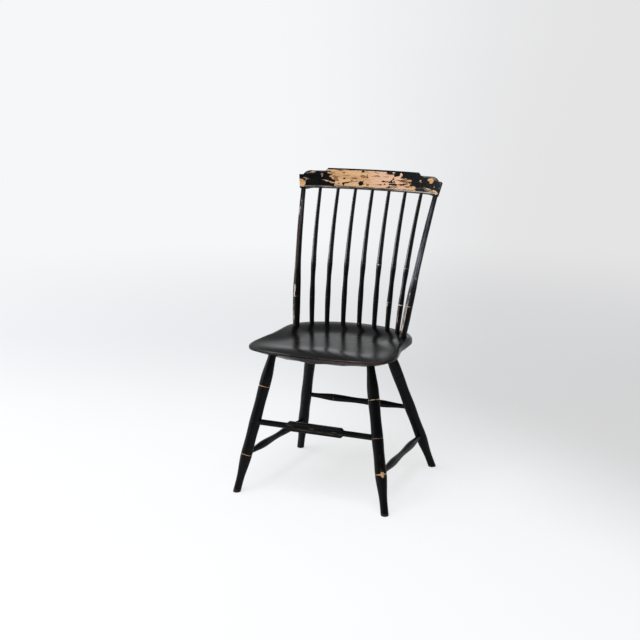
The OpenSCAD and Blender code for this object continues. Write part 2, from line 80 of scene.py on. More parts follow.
# ---------- Node trees ----------
class Value:
    """A socket that works in Python sums: every operator adds one Math node."""

    def __init__(self, tree, socket):
        self.tree = tree
        self.socket = socket

    def math(self, operation, *others):
        values = dict(enumerate((self, *others)))
        return self.tree.add("ShaderNodeMath", values, operation=operation)

    def __add__(self, other):
        return self.math("ADD", other)

    def __radd__(self, other):
        return self.math("ADD", other)

    def __mul__(self, other):
        return self.math("MULTIPLY", other)

    def __rmul__(self, other):
        return self.math("MULTIPLY", other)

    def __sub__(self, other):
        return self.math("SUBTRACT", other)

    def __rsub__(self, other):
        return self.tree.add("ShaderNodeMath", {0: other, 1: self}, operation="SUBTRACT")

    def __truediv__(self, other):
        return self.math("DIVIDE", other)

    def __neg__(self):
        return self.math("MULTIPLY", -1.0)


class Tree:
    """Adds nodes to one node tree: settings first, then the values or links of the inputs."""

    def __init__(self, tree):
        self.tree = tree

    def add(self, kind, inputs=None, out=0, stops=None, **settings):
        node = self.tree.nodes.new(kind)
        for name, value in settings.items():
            setattr(node, name, value)
        for place, color in stops or []:
            spare = [e for e in node.color_ramp.elements if e.position == place]
            element = spare[0] if spare else node.color_ramp.elements.new(place)
            element.color = (*color, 1)
        for key, value in (inputs or {}).items():
            if isinstance(value, Value):
                self.tree.links.new(value.socket, node.inputs[key])
            elif value is not None:
                node.inputs[key].default_value = value
        return Value(self, node.outputs[out]) if node.outputs else None

    def between(self, value, low, high):
        """0 below low, 1 above high, smooth between them."""
        return self.add(
            "ShaderNodeMapRange", {0: value, 1: low, 2: high}, interpolation_type="SMOOTHSTEP"
        )

    def noise(self, where, scale, detail=4.0, rough=0.55):
        inputs = {"Vector": where, "Scale": scale, "Detail": detail, "Roughness": rough}
        return self.add("ShaderNodeTexNoise", inputs)

    def stretch(self, where, scale):
        """Coordinates times a vector, so that a pattern runs long where the scale is small."""
        return self.add("ShaderNodeVectorMath", {0: where, 1: scale}, operation="MULTIPLY")

    def mix(self, share, a, b):
        return self.add(
            "ShaderNodeMix", {0: share, 6: color(a), 7: color(b)}, out=2, data_type="RGBA"
        )

    def attribute(self, name, out=2):
        return self.add("ShaderNodeAttribute", out=out, attribute_name=name)


def color(value):
    """A colour given as numbers gets its alpha; a socket stays as it is."""
    return value if isinstance(value, Value) else (*value, 1)


def srgb(red, green, blue):
    """A colour on the usual 0 to 255 scale as linear numbers."""
    parts = [v / 255 for v in (red, green, blue)]
    return tuple(v / 12.92 if v < 0.04045 else ((v + 0.055) / 1.055) ** 2.4 for v in parts)


# ---------- Materials ----------
PAINT_BLACK = srgb(8, 8, 10)
PAINT_DULL = srgb(17, 16, 16)
PAINT_BROWN = srgb(66, 44, 34)
WOOD_TAN = srgb(220, 176, 132)
WOOD_GOLD = srgb(200, 152, 104)
WOOD_PINK = srgb(224, 180, 150)
WOOD_DARK = srgb(112, 72, 42)
WOOD_WORN = (srgb(226, 190, 142), srgb(208, 164, 112), srgb(150, 104, 64))
WOOD_GREY = (srgb(234, 214, 202), srgb(222, 192, 174), srgb(172, 138, 120))
# Pale tone of dust, also used for painted highlights on the crest rail's bead and right end
DUST_AND_HIGHLIGHT = srgb(198, 182, 166)
GILT_COLOR = srgb(88, 76, 48)
# Bluish-grey colour of painted highlights on post facets and spindle sides, also of grey wear
SHEEN_AND_WEAR_GREY = srgb(122, 120, 130)


def new_material(name):
    """An empty material, and its node tree to build on."""
    material = bpy.data.materials.new(name)
    material.use_nodes = True
    material.node_tree.nodes.clear()
    return material, Tree(material.node_tree)


def finish_material(t, base, rough, height, gloss, varnish=None):
    """The shader: height is relief in metres, varnish how much polish lies on top."""
    normal = t.add("ShaderNodeBump", {"Strength": 1.0, "Distance": 1.0, "Height": height})
    inputs = {"Base Color": base, "Roughness": rough, "Normal": normal, "Specular IOR Level": gloss,
              "Coat Weight": varnish, "Coat Roughness": 0.22, "Coat IOR": 2.0}
    t.add("ShaderNodeOutputMaterial", {0: t.add("ShaderNodeBsdfPrincipled", inputs)})


def wood_color(t, own, light, deep, dark):
    """Bare wood with its grain along the third own axis: (colour, height in metres)."""
    broad = t.noise(t.stretch(own, (60, 60, 5)), 1.0, 3.0)
    fibre = t.noise(t.stretch(own, (700, 700, 28)), 1.0, 5.0, 0.62)
    pores = t.noise(t.stretch(own, (1500, 1500, 60)), 1.0, 2.0)
    tone = t.mix(t.between(broad, 0.36, 0.66), light, deep)
    tone = t.mix(t.between(fibre, 0.5, 0.74) * 0.55, tone, dark)
    tone = t.mix(t.between(pores, 0.6, 0.74) * 0.45, tone, dark)
    return tone, fibre * 0.00012 + pores * 0.00008


def painted_wood(name, wood=WOOD_WORN, gloss=0.14, polish=0.0, brushed=1.0):
    """Black paint over wood. The bare attribute says where it has gone, and rub where it is thin;
    sheen_and_wear lays a bluish-grey painted highlight, partly grey wear, over the paint.
    """
    material, t = new_material(name)
    own = t.attribute("own", out=1)
    bare = t.attribute("bare")
    rub = t.attribute("rub")
    edge = t.noise(t.stretch(own, (260, 260, 60)), 1.0, 5.0, 0.6) - 0.5
    specks = t.noise(own, 900.0, 3.0, 0.6) - 0.5
    gone = bare + edge * 0.9 + specks * 0.35
    chip = t.between(gone, 0.5, 0.54)
    thin = t.between(gone + rub * 0.5, 0.34, 0.56)
    cloud = t.noise(own, 26.0, 4.0)
    paint = t.mix(t.between(cloud, 0.35, 0.75), PAINT_BLACK, PAINT_DULL)
    paint = t.mix(thin * 0.8, paint, PAINT_BROWN)
    gilt = t.between(t.attribute("gilt") + specks * 1.6 + edge, 0.45, 0.7)
    paint = t.mix(gilt * 0.7, paint, GILT_COLOR)
    # Painted highlight, partly grey wear: bluish-grey laid into the paint colour where sheen_and_wear says
    sheen_and_wear = t.attribute("sheen_and_wear") * t.between(t.noise(t.stretch(own, (160, 160, 24)), 1.0, 4.0), 0.3, 0.6)
    paint = t.mix(sheen_and_wear, paint, SHEEN_AND_WEAR_GREY)
    tone, grain = wood_color(t, own, *wood)
    base = t.mix(chip, paint, tone)
    smear = t.noise(t.stretch(own, (90, 90, 14)), 1.0, 4.0)
    rough = 0.26 - polish + smear * 0.2 + thin * 0.3
    rough = rough + chip * 0.32
    brush = t.noise(t.stretch(own, (420, 420, 16)), 1.0, 3.0)
    height = (1.0 - chip) * 0.00016 + brush * (0.00004 * brushed) + chip * grain
    finish_material(t, base, rough, height, gloss, t.attribute("varnish") * (1.0 - chip))
    return material


def peeled_rail(name):
    """The crest rail: bare tan wood with stains, and black paint that ends in ragged edges, pale in places
    with dust and painted highlights.
    """
    material, t = new_material(name)
    own = t.attribute("own", out=1)
    bare = t.attribute("bare")
    stain = t.attribute("stain")
    dust_and_highlight = t.attribute("dust_and_highlight")
    edge = t.noise(t.stretch(own, (330, 330, 60)), 1.0, 6.0, 0.62) - 0.5
    fine = t.noise(t.stretch(own, (1100, 1100, 260)), 1.0, 4.0, 0.6) - 0.5
    gone = bare + edge * 0.7 + fine * 0.24
    chip = t.between(gone, 0.49, 0.53)
    thin = t.between(gone, 0.36, 0.5)
    tone, grain = wood_color(t, own, WOOD_TAN, WOOD_GOLD, WOOD_DARK)
    cloudy = t.noise(t.stretch(own, (60, 60, 14)), 1.0, 3.0)
    blush = t.between(t.attribute("blush") + cloudy - 0.5, 0.3, 0.8)
    tone = t.mix(blush * 0.75, tone, WOOD_PINK)
    soak = t.noise(t.stretch(own, (240, 240, 40)), 1.0, 5.0)
    soaked = t.between(stain + soak * 0.5 - 0.25, 0.42, 0.75)
    tone = t.mix(soaked * 0.8, tone, WOOD_DARK)
    tone = t.mix(t.between(gone, 0.62, 0.5) * 0.45, tone, WOOD_DARK)
    cloud = t.noise(own, 30.0, 4.0)
    paint = t.mix(t.between(cloud, 0.35, 0.75), PAINT_BLACK, PAINT_DULL)
    paint = t.mix(thin * 0.7, paint, PAINT_BROWN)
    # Pale dust, and painted highlights on the bead and the right end, laid over the paint
    paint = t.mix(dust_and_highlight * t.between(soak, 0.3, 0.6), paint, DUST_AND_HIGHLIGHT)
    base = t.mix(chip, paint, tone)
    smear = t.noise(t.stretch(own, (90, 90, 14)), 1.0, 4.0)
    rough = 0.3 + smear * 0.2 + chip * 0.3
    height = (1.0 - chip) * 0.0002 + chip * grain + smear * 0.00003
    finish_material(t, base, rough, height, 0.3)
    return material


def end_grain(name):
    """A peg's end: grey-tan wood with dirt round it."""
    material, t = new_material(name)
    own = t.attribute("own", out=1)
    rings = t.noise(own, 1400.0, 4.0)
    dirt = t.noise(own, 500.0, 3.0)
    tone = t.mix(t.between(rings, 0.35, 0.7), srgb(206, 186, 172), srgb(150, 122, 104))
    base = t.mix(t.between(dirt, 0.55, 0.75), tone, PAINT_BROWN)
    finish_material(t, base, 0.55 + rings * 0.2, rings * 0.0002, 0.3)
    return material


# ---------- Smoothing and fading ----------
def bank(values, low=0.0, high=1.0):
    """0 at low and below, 1 at high and above, straight between them."""
    return np.clip((values - low) / (high - low), 0, 1)


def gaussian(values, size, axis, closed):
    """Values smoothed along one axis of a grid."""
    reach_of = int(3 * size) + 1
    weights = np.exp(-0.5 * (np.arange(-reach_of, reach_of + 1) / size) ** 2)
    weights /= weights.sum()
    pad = [(0, 0)] * values.ndim
    pad[axis] = (reach_of, reach_of)
    if closed:
        wide = np.pad(values, pad, "wrap")
    else:
        wide = np.pad(values, pad, "reflect", reflect_type="odd")
    return np.apply_along_axis(lambda row: np.convolve(row, weights, "valid"), axis, wide)


# ---------- Measuring the CAD solids ----------
def surface(node):
    """A CAD node's surface for rays, and its points."""
    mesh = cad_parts[node].data
    points = np.array([v.co for v in mesh.vertices])
    return BVHTree.FromPolygons(points.tolist(), [p.vertices[:] for p in mesh.polygons]), points


def across(way):
    """Two directions square to way and to each other; the first one faces the front or the floor."""
    fore = FRONT if abs(way.dot(FRONT)) < 0.7 else -UP
    fore = (fore - way * way.dot(fore)).normalized()
    return fore, way.cross(fore).normalized()


def fan(count, fore, side):
    """Directions all the way round, from fore towards side."""
    return [
        fore * math.cos(a) + side * math.sin(a)
        for a in (2 * math.pi * k / count for k in range(count))
    ]


def reach(tree, start, way, default=0.0):
    """Distance along a ray to the surface, or the default where the ray misses it."""
    distance = tree.ray_cast(start, way)[3]
    return default if distance is None else distance


def section_centre(tree, guess, way, rounds=4):
    """Middle of the round section through guess, square to way; flats and sockets are left out."""
    fore, side = across(way)
    ways = fan(24, fore, side)
    centre = guess
    for _ in range(rounds):
        radii = np.array([reach(tree, centre, w) for w in ways])
        good = np.abs(radii - np.percentile(radii, 70)) < 0.12 * np.percentile(radii, 70)
        hits = [centre + w * r for w, r, g in zip(ways, radii, good) if g]
        if len(hits) < 8:
            break
        flat = np.array([((h - guess).dot(fore), (h - guess).dot(side)) for h in hits])
        terms = np.column_stack([2 * flat, np.ones(len(flat))])
        a, b, _ = np.linalg.lstsq(terms, (flat**2).sum(1), rcond=None)[0]
        centre = guess + fore * a + side * b
    return centre


COARSE = 8 * MM
FINE = 0.4 * MM


def measure_turning(node, straight, lower=None, upper=None):
    """(middles, radii, flats, way) of a turned node at fine steps along its axis.

    lower and upper are heights that end the measured stretch, so that hidden tenons stay short.
    """
    tree, points = surface(node)
    middle = points.mean(0)
    way = Vector(np.linalg.svd(points[::3] - middle, full_matrices=False)[2][0])
    if way.dot(UP + RIGHT * 0.01 - FRONT * 0.02) < 0:
        way = -way
    runs = points @ np.array(way)
    length = np.ptp(runs)
    steps = np.arange(1.5 * COARSE, length - 1.5 * COARSE, COARSE)
    off = points - np.outer(runs, way)
    centres = []
    for s in steps:
        near = np.exp(-(((runs - runs.min() - s) / (1.4 * COARSE)) ** 2)) + 1e-12
        guess = (off * near[:, None]).sum(0) / near.sum() + np.array(way) * (runs.min() + s)
        centres.append(section_centre(tree, Vector(guess), way))
    centres = np.array(centres)
    if straight:
        middle = np.median(centres, 0)
        for _ in range(3):
            off = centres - middle
            direction = np.linalg.svd(off, full_matrices=False)[2][0]
            miss = np.linalg.norm(off - np.outer(off @ direction, direction), axis=1)
            keep = miss < np.maximum(2 * np.median(miss), 0.05 * MM)
            centres = centres[keep]
            middle = centres.mean(0)
        direction *= np.sign(direction @ np.array(way))
        way = Vector(direction)
        start = Vector(middle + direction * (runs.min() - middle @ direction))
        steps = np.array([0.0, length])
        centres = np.array([start, start + way * float(length)])
    fine = np.arange(FINE, length - FINE, FINE)
    if not straight:
        fine = fine[(fine > steps[0]) & (fine < steps[-1])]
    middles = np.column_stack([np.interp(fine, steps, centres[:, k]) for k in range(3)])
    keep = np.ones(len(fine), bool)
    if lower is not None:
        keep &= middles[:, 2] > lower
    if upper is not None:
        keep &= middles[:, 2] < upper
    middles, fine = middles[keep], fine[keep]
    fore, side = across(way)
    ways = fan(12, fore, side)
    radii = np.array([[reach(tree, Vector(m), w) for w in ways] for m in middles])
    return middles, np.percentile(radii, 75, axis=1), radii[:, 0], way


# ---------- Meshes ----------
def new_mesh(name, points, faces):
    mesh = bpy.data.meshes.new(name)
    mesh.from_pydata([tuple(p) for p in points], [], faces)
    mesh.validate()
    piece = bpy.data.objects.new(name, mesh)
    bpy.context.scene.collection.objects.link(piece)
    return piece


def points_of(piece):
    points = np.zeros(len(piece.data.vertices) * 3)
    piece.data.vertices.foreach_get("co", points)
    return points.reshape(-1, 3)


def store(piece, name, values):
    """Keeps a number or a vector for each point of a piece, for its material to read."""
    values = np.asarray(values, np.float32)
    kind, key = ("FLOAT", "value") if values.ndim == 1 else ("FLOAT_VECTOR", "vector")
    attribute = piece.data.attributes.get(name) or piece.data.attributes.new(name, kind, "POINT")
    attribute.data.foreach_set(key, values.ravel())


def read(piece, name, width=1):
    values = np.zeros(len(piece.data.vertices) * width)
    piece.data.attributes[name].data.foreach_get("value" if width == 1 else "vector", values)
    return values if width == 1 else values.reshape(-1, width)


def skin_faces(rows, columns):
    """Quads over rows of points that close on themselves."""
    return [
        (i * columns + k, i * columns + (k + 1) % columns,
         (i + 1) * columns + (k + 1) % columns, (i + 1) * columns + k)
        for i in range(rows - 1)
        for k in range(columns)
    ]


def recalculate(piece):
    """Turns a closed piece's faces outwards."""
    edit = bmesh.new()
    edit.from_mesh(piece.data)
    bmesh.ops.recalc_face_normals(edit, faces=edit.faces[:])
    edit.to_mesh(piece.data)
    edit.free()


def settle(piece, material, slot, *nodes):
    """Gives a finished piece its material, its body and the CAD nodes that it stands for."""
    piece.data.materials.clear()
    piece.data.materials.append(material)
    piece.data.polygons.foreach_set("use_smooth", [True] * len(piece.data.polygons))
    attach(piece, "root")
    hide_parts(*nodes)


# ---------- Turned members, as a Geometry Nodes tree ----------
def turned_tree():
    """A skin round a line of axis points, which carry its girth, flat and level attributes."""
    group = bpy.data.node_groups.new("turned member", "GeometryNodeTree")
    face = group.interface
    face.new_socket("Axis", in_out="INPUT", socket_type="NodeSocketGeometry")
    for name, kind, value in (
        ("Sides", "NodeSocketInt", 48), ("Unevenness", "NodeSocketFloat", 0.15 * MM),
        ("Seed", "NodeSocketFloat", 0.0),
    ):
        face.new_socket(name, in_out="INPUT", socket_type=kind).default_value = value
    face.new_socket("Material", in_out="INPUT", socket_type="NodeSocketMaterial")
    face.new_socket("Member", in_out="OUTPUT", socket_type="NodeSocketGeometry")
    t = Tree(group)
    start = group.nodes.new("NodeGroupInput")
    axis, sides, uneven, seed, paint = (Value(t, start.outputs[i]) for i in range(5))

    def named(name, kind="FLOAT"):
        return t.add("GeometryNodeInputNamedAttribute", {"Name": name}, data_type=kind)

    def vector(operation, a, b=None, scale=None, out=0):
        inputs = {0: a, 1: b, "Scale": scale}
        if scale is None:
            inputs.pop("Scale")
        return t.add("ShaderNodeVectorMath", inputs, out=out, operation=operation)

    curve = t.add("GeometryNodeMeshToCurve", {0: axis})
    ring = t.add("GeometryNodeCurvePrimitiveCircle", {"Resolution": sides, "Radius": 1.0})
    radius = named("girth")
    skin = t.add(
        "GeometryNodeCurveToMesh",
        {"Curve": curve, "Profile Curve": ring, "Scale": radius, "Fill Caps": True},
    )
    place = t.add("GeometryNodeInputPosition")
    off = vector("SUBTRACT", place, named("middle", "FLOAT_VECTOR"))
    fore = named("fore", "FLOAT_VECTOR")
    past = (vector("DOT_PRODUCT", off, fore, out=1) - named("flat")).math("MAXIMUM", 0.0)
    skin = t.add(
        "GeometryNodeSetPosition",
        {"Geometry": skin, "Offset": vector("SCALE", fore, scale=-past)},
    )
    height = t.add("ShaderNodeSeparateXYZ", {0: off}, out=2)
    rise = vector("SCALE", named("way", "FLOAT_VECTOR"), scale=-(height * named("level")))
    skin = t.add("GeometryNodeSetPosition", {"Geometry": skin, "Offset": rise})
    wander = t.add("ShaderNodeTexNoise", {"W": seed, "Scale": 55.0, "Detail": 2.0}, noise_dimensions="4D")
    swell = vector(
        "SCALE", t.add("GeometryNodeInputNormal"), scale=(wander - 0.5) * uneven * 2.0 * named("free")
    )
    skin = t.add("GeometryNodeSetPosition", {"Geometry": skin, "Offset": swell})
    whole = t.add("GeometryNodeRealizeInstances", {0: skin})
    whole = t.add("GeometryNodeSetMaterial", {"Geometry": whole, "Material": paint})
    t.add("NodeGroupOutput", {0: whole})
    return group


# How far a member's skin runs into the seat's deck, the seat's underside and the rail
DECK_COVER = 8 * MM
SEAT_COVER = 6 * MM
RAIL_COVER = 13 * MM
# Over this length a leg's sections turn level with the floor
EASE_FOOT = 26 * MM
FOOT_ROUND = 2.2 * MM
# A post's ring lies this far below the end of its fattest stretch
POST_RING_DROP = 31 * MM
SCORE_DEPTH = 0.45 * MM
SCORE_WIDTH = 1.1 * MM


def steady(values, width):
    """A running median and a light average, which keep a shoulder's step in place."""
    rows = np.lib.stride_tricks.sliding_window_view(np.pad(values, width // 2, "edge"), width)
    values = np.median(rows, axis=1)
    return np.convolve(np.pad(values, 2, "edge"), np.ones(5) / 5, "valid")


def valleys(along, radii, depth):
    """Places where a turned profile dips by depth within a few millimetres: its scored rings."""
    wide = int(2.4 * MM / FINE)
    shoulder = np.minimum(np.roll(radii, wide), np.roll(radii, -wide))
    low = (shoulder - radii > depth) & (along > 12 * MM) & (along < along[-1] - 12 * MM)
    found = []
    for s, r in zip(along[low], radii[low]):
        if found and s - found[-1][0] < 5 * MM:
            found[-1] = min(found[-1], (s, r), key=lambda p: p[1])
        else:
            found.append((s, r))
    return [s for s, _ in found]


def crests(along, radii, margin=25 * MM):
    """Places where a smoothed profile is fattest, away from its ends."""
    wide = int(6 * MM / FINE)
    soft = np.convolve(radii, np.ones(wide) / wide, "same")
    inner = (along > margin) & (along < along[-1] - margin)
    peak = (soft >= np.roll(soft, wide)) & (soft > np.roll(soft, -wide)) & inner
    found = []
    for s in along[peak]:
        if not found or s - found[-1][-1] > 8 * MM:
            found.append([s])
        else:
            found[-1].append(s)
    return [float(np.mean(f)) for f in found]


def choose_stations(along, rings, spacing):
    """Stations at an even spacing, closer round the scored rings."""
    last, keep = -1.0, []
    for i, s in enumerate(along):
        near = any(abs(s - r) < 2.6 * MM for r in rings)
        if s - last >= (FINE if near else spacing) * 0.99:
            keep.append(i)
            last = s
    return np.array(keep)


def close_foot(middles, radii, flats, along, rings, way):
    """Runs a leg straight on down to the floor and rounds its last edge off."""
    above = middles[:, 2] > 0.5 * MM
    middles, radii, flats, along = middles[above], radii[above], flats[above], along[above]
    shift = middles[0][2] / way.z
    rings = [r - along[0] + shift for r in rings]
    along = np.concatenate([[0], along - along[0] + shift])
    middles = np.vstack([middles[0] - np.array(way) * shift, middles])
    radii = np.concatenate([radii[:1], radii])
    flats = np.concatenate([flats[:1], flats])
    worn = np.clip(1 - along / FOOT_ROUND, 0, 1)
    radii = radii - FOOT_ROUND * 0.8 * (1 - np.sqrt(1 - worn**2))
    return middles, radii, flats, along, rings


def grow_skin(axis, skin_tree, sides, seed, material):
    """Turns a line of axis points into its skin, as a plain mesh."""
    modifier = axis.modifiers.new("turned", "NODES")
    modifier.node_group = skin_tree
    sockets = {s.name: s.identifier for s in skin_tree.interface.items_tree if s.in_out == "INPUT"}
    modifier[sockets["Sides"]] = sides
    modifier[sockets["Seed"]] = float(seed)
    modifier[sockets["Material"]] = material
    shaped = axis.evaluated_get(bpy.context.evaluated_depsgraph_get())
    line, mesh = axis.data, bpy.data.meshes.new_from_object(shaped)
    axis.modifiers.clear()
    axis.data = mesh
    bpy.data.meshes.remove(line)


def turned_piece(node, skin_tree, material, seed, sides, straight=True, lower=None, upper=None, foot=False,
                 faceted=False, scored=False, spacing=1.6 * MM):
    """A turned member round a CAD node. Returns its object and the places of its scored rings."""
    middles, radii, flats, way = measure_turning(node, straight, lower, upper)
    along = np.concatenate([[0], np.cumsum(np.linalg.norm(np.diff(middles, axis=0), axis=1))])
    if straight:
        rings = valleys(along, radii, 0.5 * MM)
    else:
        radii = steady(radii, int(9 * MM / FINE) | 1)
        rings = crests(along, radii)
        if faceted:
            rings = [float(along[radii > 0.997 * radii.max()][-1]) - POST_RING_DROP]
    if scored:
        for ring in rings:
            radii = radii - SCORE_DEPTH * np.exp(-((along - ring) / (0.5 * SCORE_WIDTH)) ** 2)
    pick = choose_stations(along, rings, spacing)
    middles, radii, flats, along = middles[pick], radii[pick], flats[pick], along[pick]
    if foot:
        middles, radii, flats, along, rings = close_foot(middles, radii, flats, along, rings, way)
    if lower is not None:
        buried = DECK_COVER / way.z
        along, rings = along - buried, [r - buried for r in rings]
    line = bpy.data.meshes.new(node + "_axis")
    line.from_pydata([tuple(m) for m in middles], [(i, i + 1) for i in range(len(middles) - 1)], [])
    axis = bpy.data.objects.new("visual_" + node, line)
    bpy.context.scene.collection.objects.link(axis)
    count = len(middles)
    fore, side = across(way)
    store(axis, "girth", radii)
    store(axis, "flat", np.minimum(flats, radii) if faceted else radii * 2)
    store(axis, "level", np.clip(1 - along / EASE_FOOT, 0, 1) / way.z if foot else np.zeros(count))
    store(axis, "free", np.clip(along / (4 * MM), 0, 1) if foot else np.ones(count))
    store(axis, "along", along)
    store(axis, "middle", middles)
    store(axis, "fore", np.tile(fore, (count, 1)))
    store(axis, "way", np.tile(way, (count, 1)))
    grow_skin(axis, skin_tree, sides, seed, material)
    off = points_of(axis) - read(axis, "middle", 3)
    own = np.column_stack([off @ np.array(fore), off @ np.array(side), read(axis, "along")])
    store(axis, "own", own)
    for name in ("girth", "flat", "level", "free", "middle", "fore", "way"):
        axis.data.attributes.remove(axis.data.attributes[name])
    return axis, rings


# ---------- Carved and cut members ----------
def carved_piece(node, count=72, step=0.7 * MM, soft=1.0):
    """A skin of ray hits round a straight member of any section, in own axes like a turned one."""
    tree, points = surface(node)
    middle = (points.min(0) + points.max(0)) / 2
    way = Vector(np.linalg.svd(points - points.mean(0), full_matrices=False)[2][0])
    if way.dot(UP + RIGHT * 0.01 - FRONT * 0.02) < 0:
        way = -way
    runs = (points - middle) @ np.array(way)
    along = np.arange(runs.min() + 0.05 * MM, runs.max() - 0.05 * MM, step)
    fore, side = across(way)
    ways = fan(count, fore, side)
    axis = [Vector(middle) + way * float(s) for s in along]
    radii = gaussian(np.array([[reach(tree, a, w) for w in ways] for a in axis]), soft, 1, True)
    radii = gaussian(radii, soft, 0, False)
    ends = radii[[0, -1]] * 0.8
    radii = np.vstack([ends[:1], radii, ends[1:]])
    axis = [axis[0], *axis, axis[-1]]
    along = np.concatenate([[along[0]], along, [along[-1]]]) - along[0]
    skin = [a + w * float(r) for a, row in zip(axis, radii) for w, r in zip(ways, row)]
    last = (len(axis) - 1) * count
    faces = skin_faces(len(axis), count)
    faces += [(len(skin), k, (k + 1) % count) for k in range(count)]
    faces += [(len(skin) + 1, last + k, last + (k + 1) % count) for k in range(count)]
    piece = new_mesh("visual_" + node, skin + [axis[0], axis[-1]], faces)
    recalculate(piece)
    off = points_of(piece) - np.array(axis[1])
    store(piece, "own", np.column_stack([off @ np.array(w) for w in (fore, side, way)]))
    return piece


# ---------- Wear ----------
# How bare each scored ring is, from the lowest or leftmost one
RING_WEAR = {
    "leg_front_left": (0.57, 0.22, 0.56), "leg_front_right": (0.6, 0.46, 0.54),
    "leg_rear_left": (0.1, 0.1, 0.12), "leg_rear_right": (0.16, 0.1, 0.1),
    "stretcher_rear": (0.44, 0.3), "stretcher_left": (0.2, 0.2), "stretcher_right": (0.24, 0.2),
    "post_left": (0.24,), "post_right": (0.36,),
}
SPINDLE_RINGS = (0.3, 0.3)
# How bare a turned member is away from its marks
CHIPPED_ALL_OVER = 0.08
# Worn patches: (ring or None, mm from it or from the lower end, turn in degrees, length, width, bare, rub)
PATCHES = {
    "post_left": (
        (0, 22, -10, 17, 2.6, 0.62, 0.5), (0, 4, -22, 7, 1.8, 0.5, 0.4),
        (0, -24, -34, 12, 1.0, 0.5, 0.4), (0, -44, -26, 9, 1.2, 0.5, 0.4),
        (0, -62, -20, 12, 1.6, 0.52, 0.4), (0, -40, 0, 60, 12, 0.2, 0.1),
        (0, 160, -14, 130, 6.0, 0.06, 1.0), (None, 350, -34, 14, 1.0, 0.5, 0.4),
        (None, 374, 2, 7, 1.4, 0.42, 0.4), (0, 78, -26, 8, 1.0, 0.4, 0.4),
        (0, 130, -40, 40, 0.8, 0.36, 0.4), (None, 330, -36, 22, 0.8, 0.4, 0.6),
    ),
    "post_right": (
        (0, 38, -16, 9, 3.4, 0.34, 0.9), (0, 6, -34, 26, 1.0, 0.66, 0.5),
        (0, -40, -34, 30, 0.9, 0.6, 0.5), (0, -20, -8, 44, 0.9, 0.64, 0.5),
        (0, -64, -24, 12, 2.6, 0.5, 0.6), (0, 140, 34, 100, 0.8, 0.36, 0.5),
        (None, 366, 4, 16, 1.4, 0.4, 0.6), (0, 84, 26, 6, 1.2, 0.46, 0.6), (0, -40, 0, 70, 12, 0.2, 0.1),
    ),
    "spindle_2": ((0, 5, -30, 5, 0.8, 0.4, 0.3), (None, 340, -20, 30, 0.7, 0.34, 0.4)),
    "spindle_3": ((1, 2, -34, 4, 1.4, 0.42, 0.3),),
    "spindle_4": ((None, 3, 20, 3, 5.0, 0.45, 0.5), (0, -16, -30, 6, 0.9, 0.4, 0.3)),
    "spindle_5": (
        (1, 1, 0, 3, 3.0, 0.45, 0.3), (1, -22, -20, 7, 0.8, 0.42, 0.3), (0, -30, 10, 6, 0.8, 0.42, 0.3),
    ),
    "spindle_6": (
        (0, -8, -36, 7, 2.2, 0.66, 0.9), (1, 4, -30, 6, 1.0, 0.44, 0.3),
        (0, -30, -30, 10, 0.9, 0.44, 0.3), (0, -10, 0, 70, 9, 0.14, 0.1),
    ),
    "spindle_7": (
        (0, 0, 0, 1.2, 7.0, 0.42, 0.4), (1, 0, -20, 4, 1.5, 0.46, 0.3), (0, 40, -24, 26, 0.9, 0.5, 0.3),
        (0, -34, -20, 30, 1.0, 0.5, 0.4), (0, -10, 0, 90, 9, 0.18, 0.1),
        (None, 320, -26, 34, 0.7, 0.4, 0.4), (None, 26, 24, 10, 1.0, 0.46, 0.4),
    ),
    "leg_front_left": (
        (2, 0, -50, 2.4, 5.0, 0.4, 0.4), (1, -12, -30, 5, 1.0, 0.4, 0.3), (0, 34, 40, 6, 1.0, 0.36, 0.3),
        (1, -1, 64, 5, 3.0, 0.3, 0.9), (None, 2, 10, 7, 60, 0.3, 1.0), (None, 60, 10, 60, 4, 0.05, 0.2),
    ),
    "leg_front_right": (
        (0, 0, 30, 9, 2.2, 0.7, 0.6), (0, 3, 48, 8, 1.4, 0.6, 0.6), (0, -5, 40, 9, 1.7, 0.65, 0.6),
        (0, -1, 8, 3.2, 6.0, 0.5, 0.6), (0, 1, 62, 3.0, 4.0, 0.5, 0.6), (0, -9, 54, 6, 1.2, 0.5, 0.6),
        (2, -34, -10, 6, 0.8, 0.44, 0.3), (1, 22, 10, 18, 0.8, 0.36, 0.6),
        (None, 2, 30, 6, 60, 0.3, 1.0), (0, 40, 30, 40, 5, 0.08, 0.6),
    ),
    "leg_rear_left": (
        (2, -30, -10, 4, 1.6, 0.4, 0.3), (None, 1, 30, 4, 60, 0.5, 0.9), (1, 0, 80, 8, 5, 0.3, 0.9),
    ),
    "leg_rear_right": ((None, 1, 30, 4, 60, 0.46, 0.9), (1, -2, -60, 8, 5, 0.3, 0.9)),
    "stretcher_front": (
        (None, 4, 0, 6, 60, 0.42, 0.9), (None, 110, -30, 20, 3, 0.2, 0.7),
        (None, 262, 20, 10, 4, 0.3, 0.7), (None, 362, 0, 4, 60, 0.2, 0.8),
    ),
    "stretcher_rear": ((None, 8, 0, 10, 60, 0.34, 0.9), (None, 322, 0, 12, 60, 0.34, 0.9)),
    "stretcher_right": ((None, 170, -60, 150, 8, 0.1, 0.5), (None, 12, 0, 8, 60, 0.2, 0.8)),
    "stretcher_left": ((None, 12, 0, 8, 60, 0.2, 0.8),),
}
# Left-over paint of an older stripe on the front stretcher's tablet: (mm along, turn, length, width)
GILT = ((150, 34, 34, 1.6), (196, 30, 20, 1.4), (232, 36, 16, 1.4), (176, -20, 12, 1.6), (245, -12, 10, 1.4))
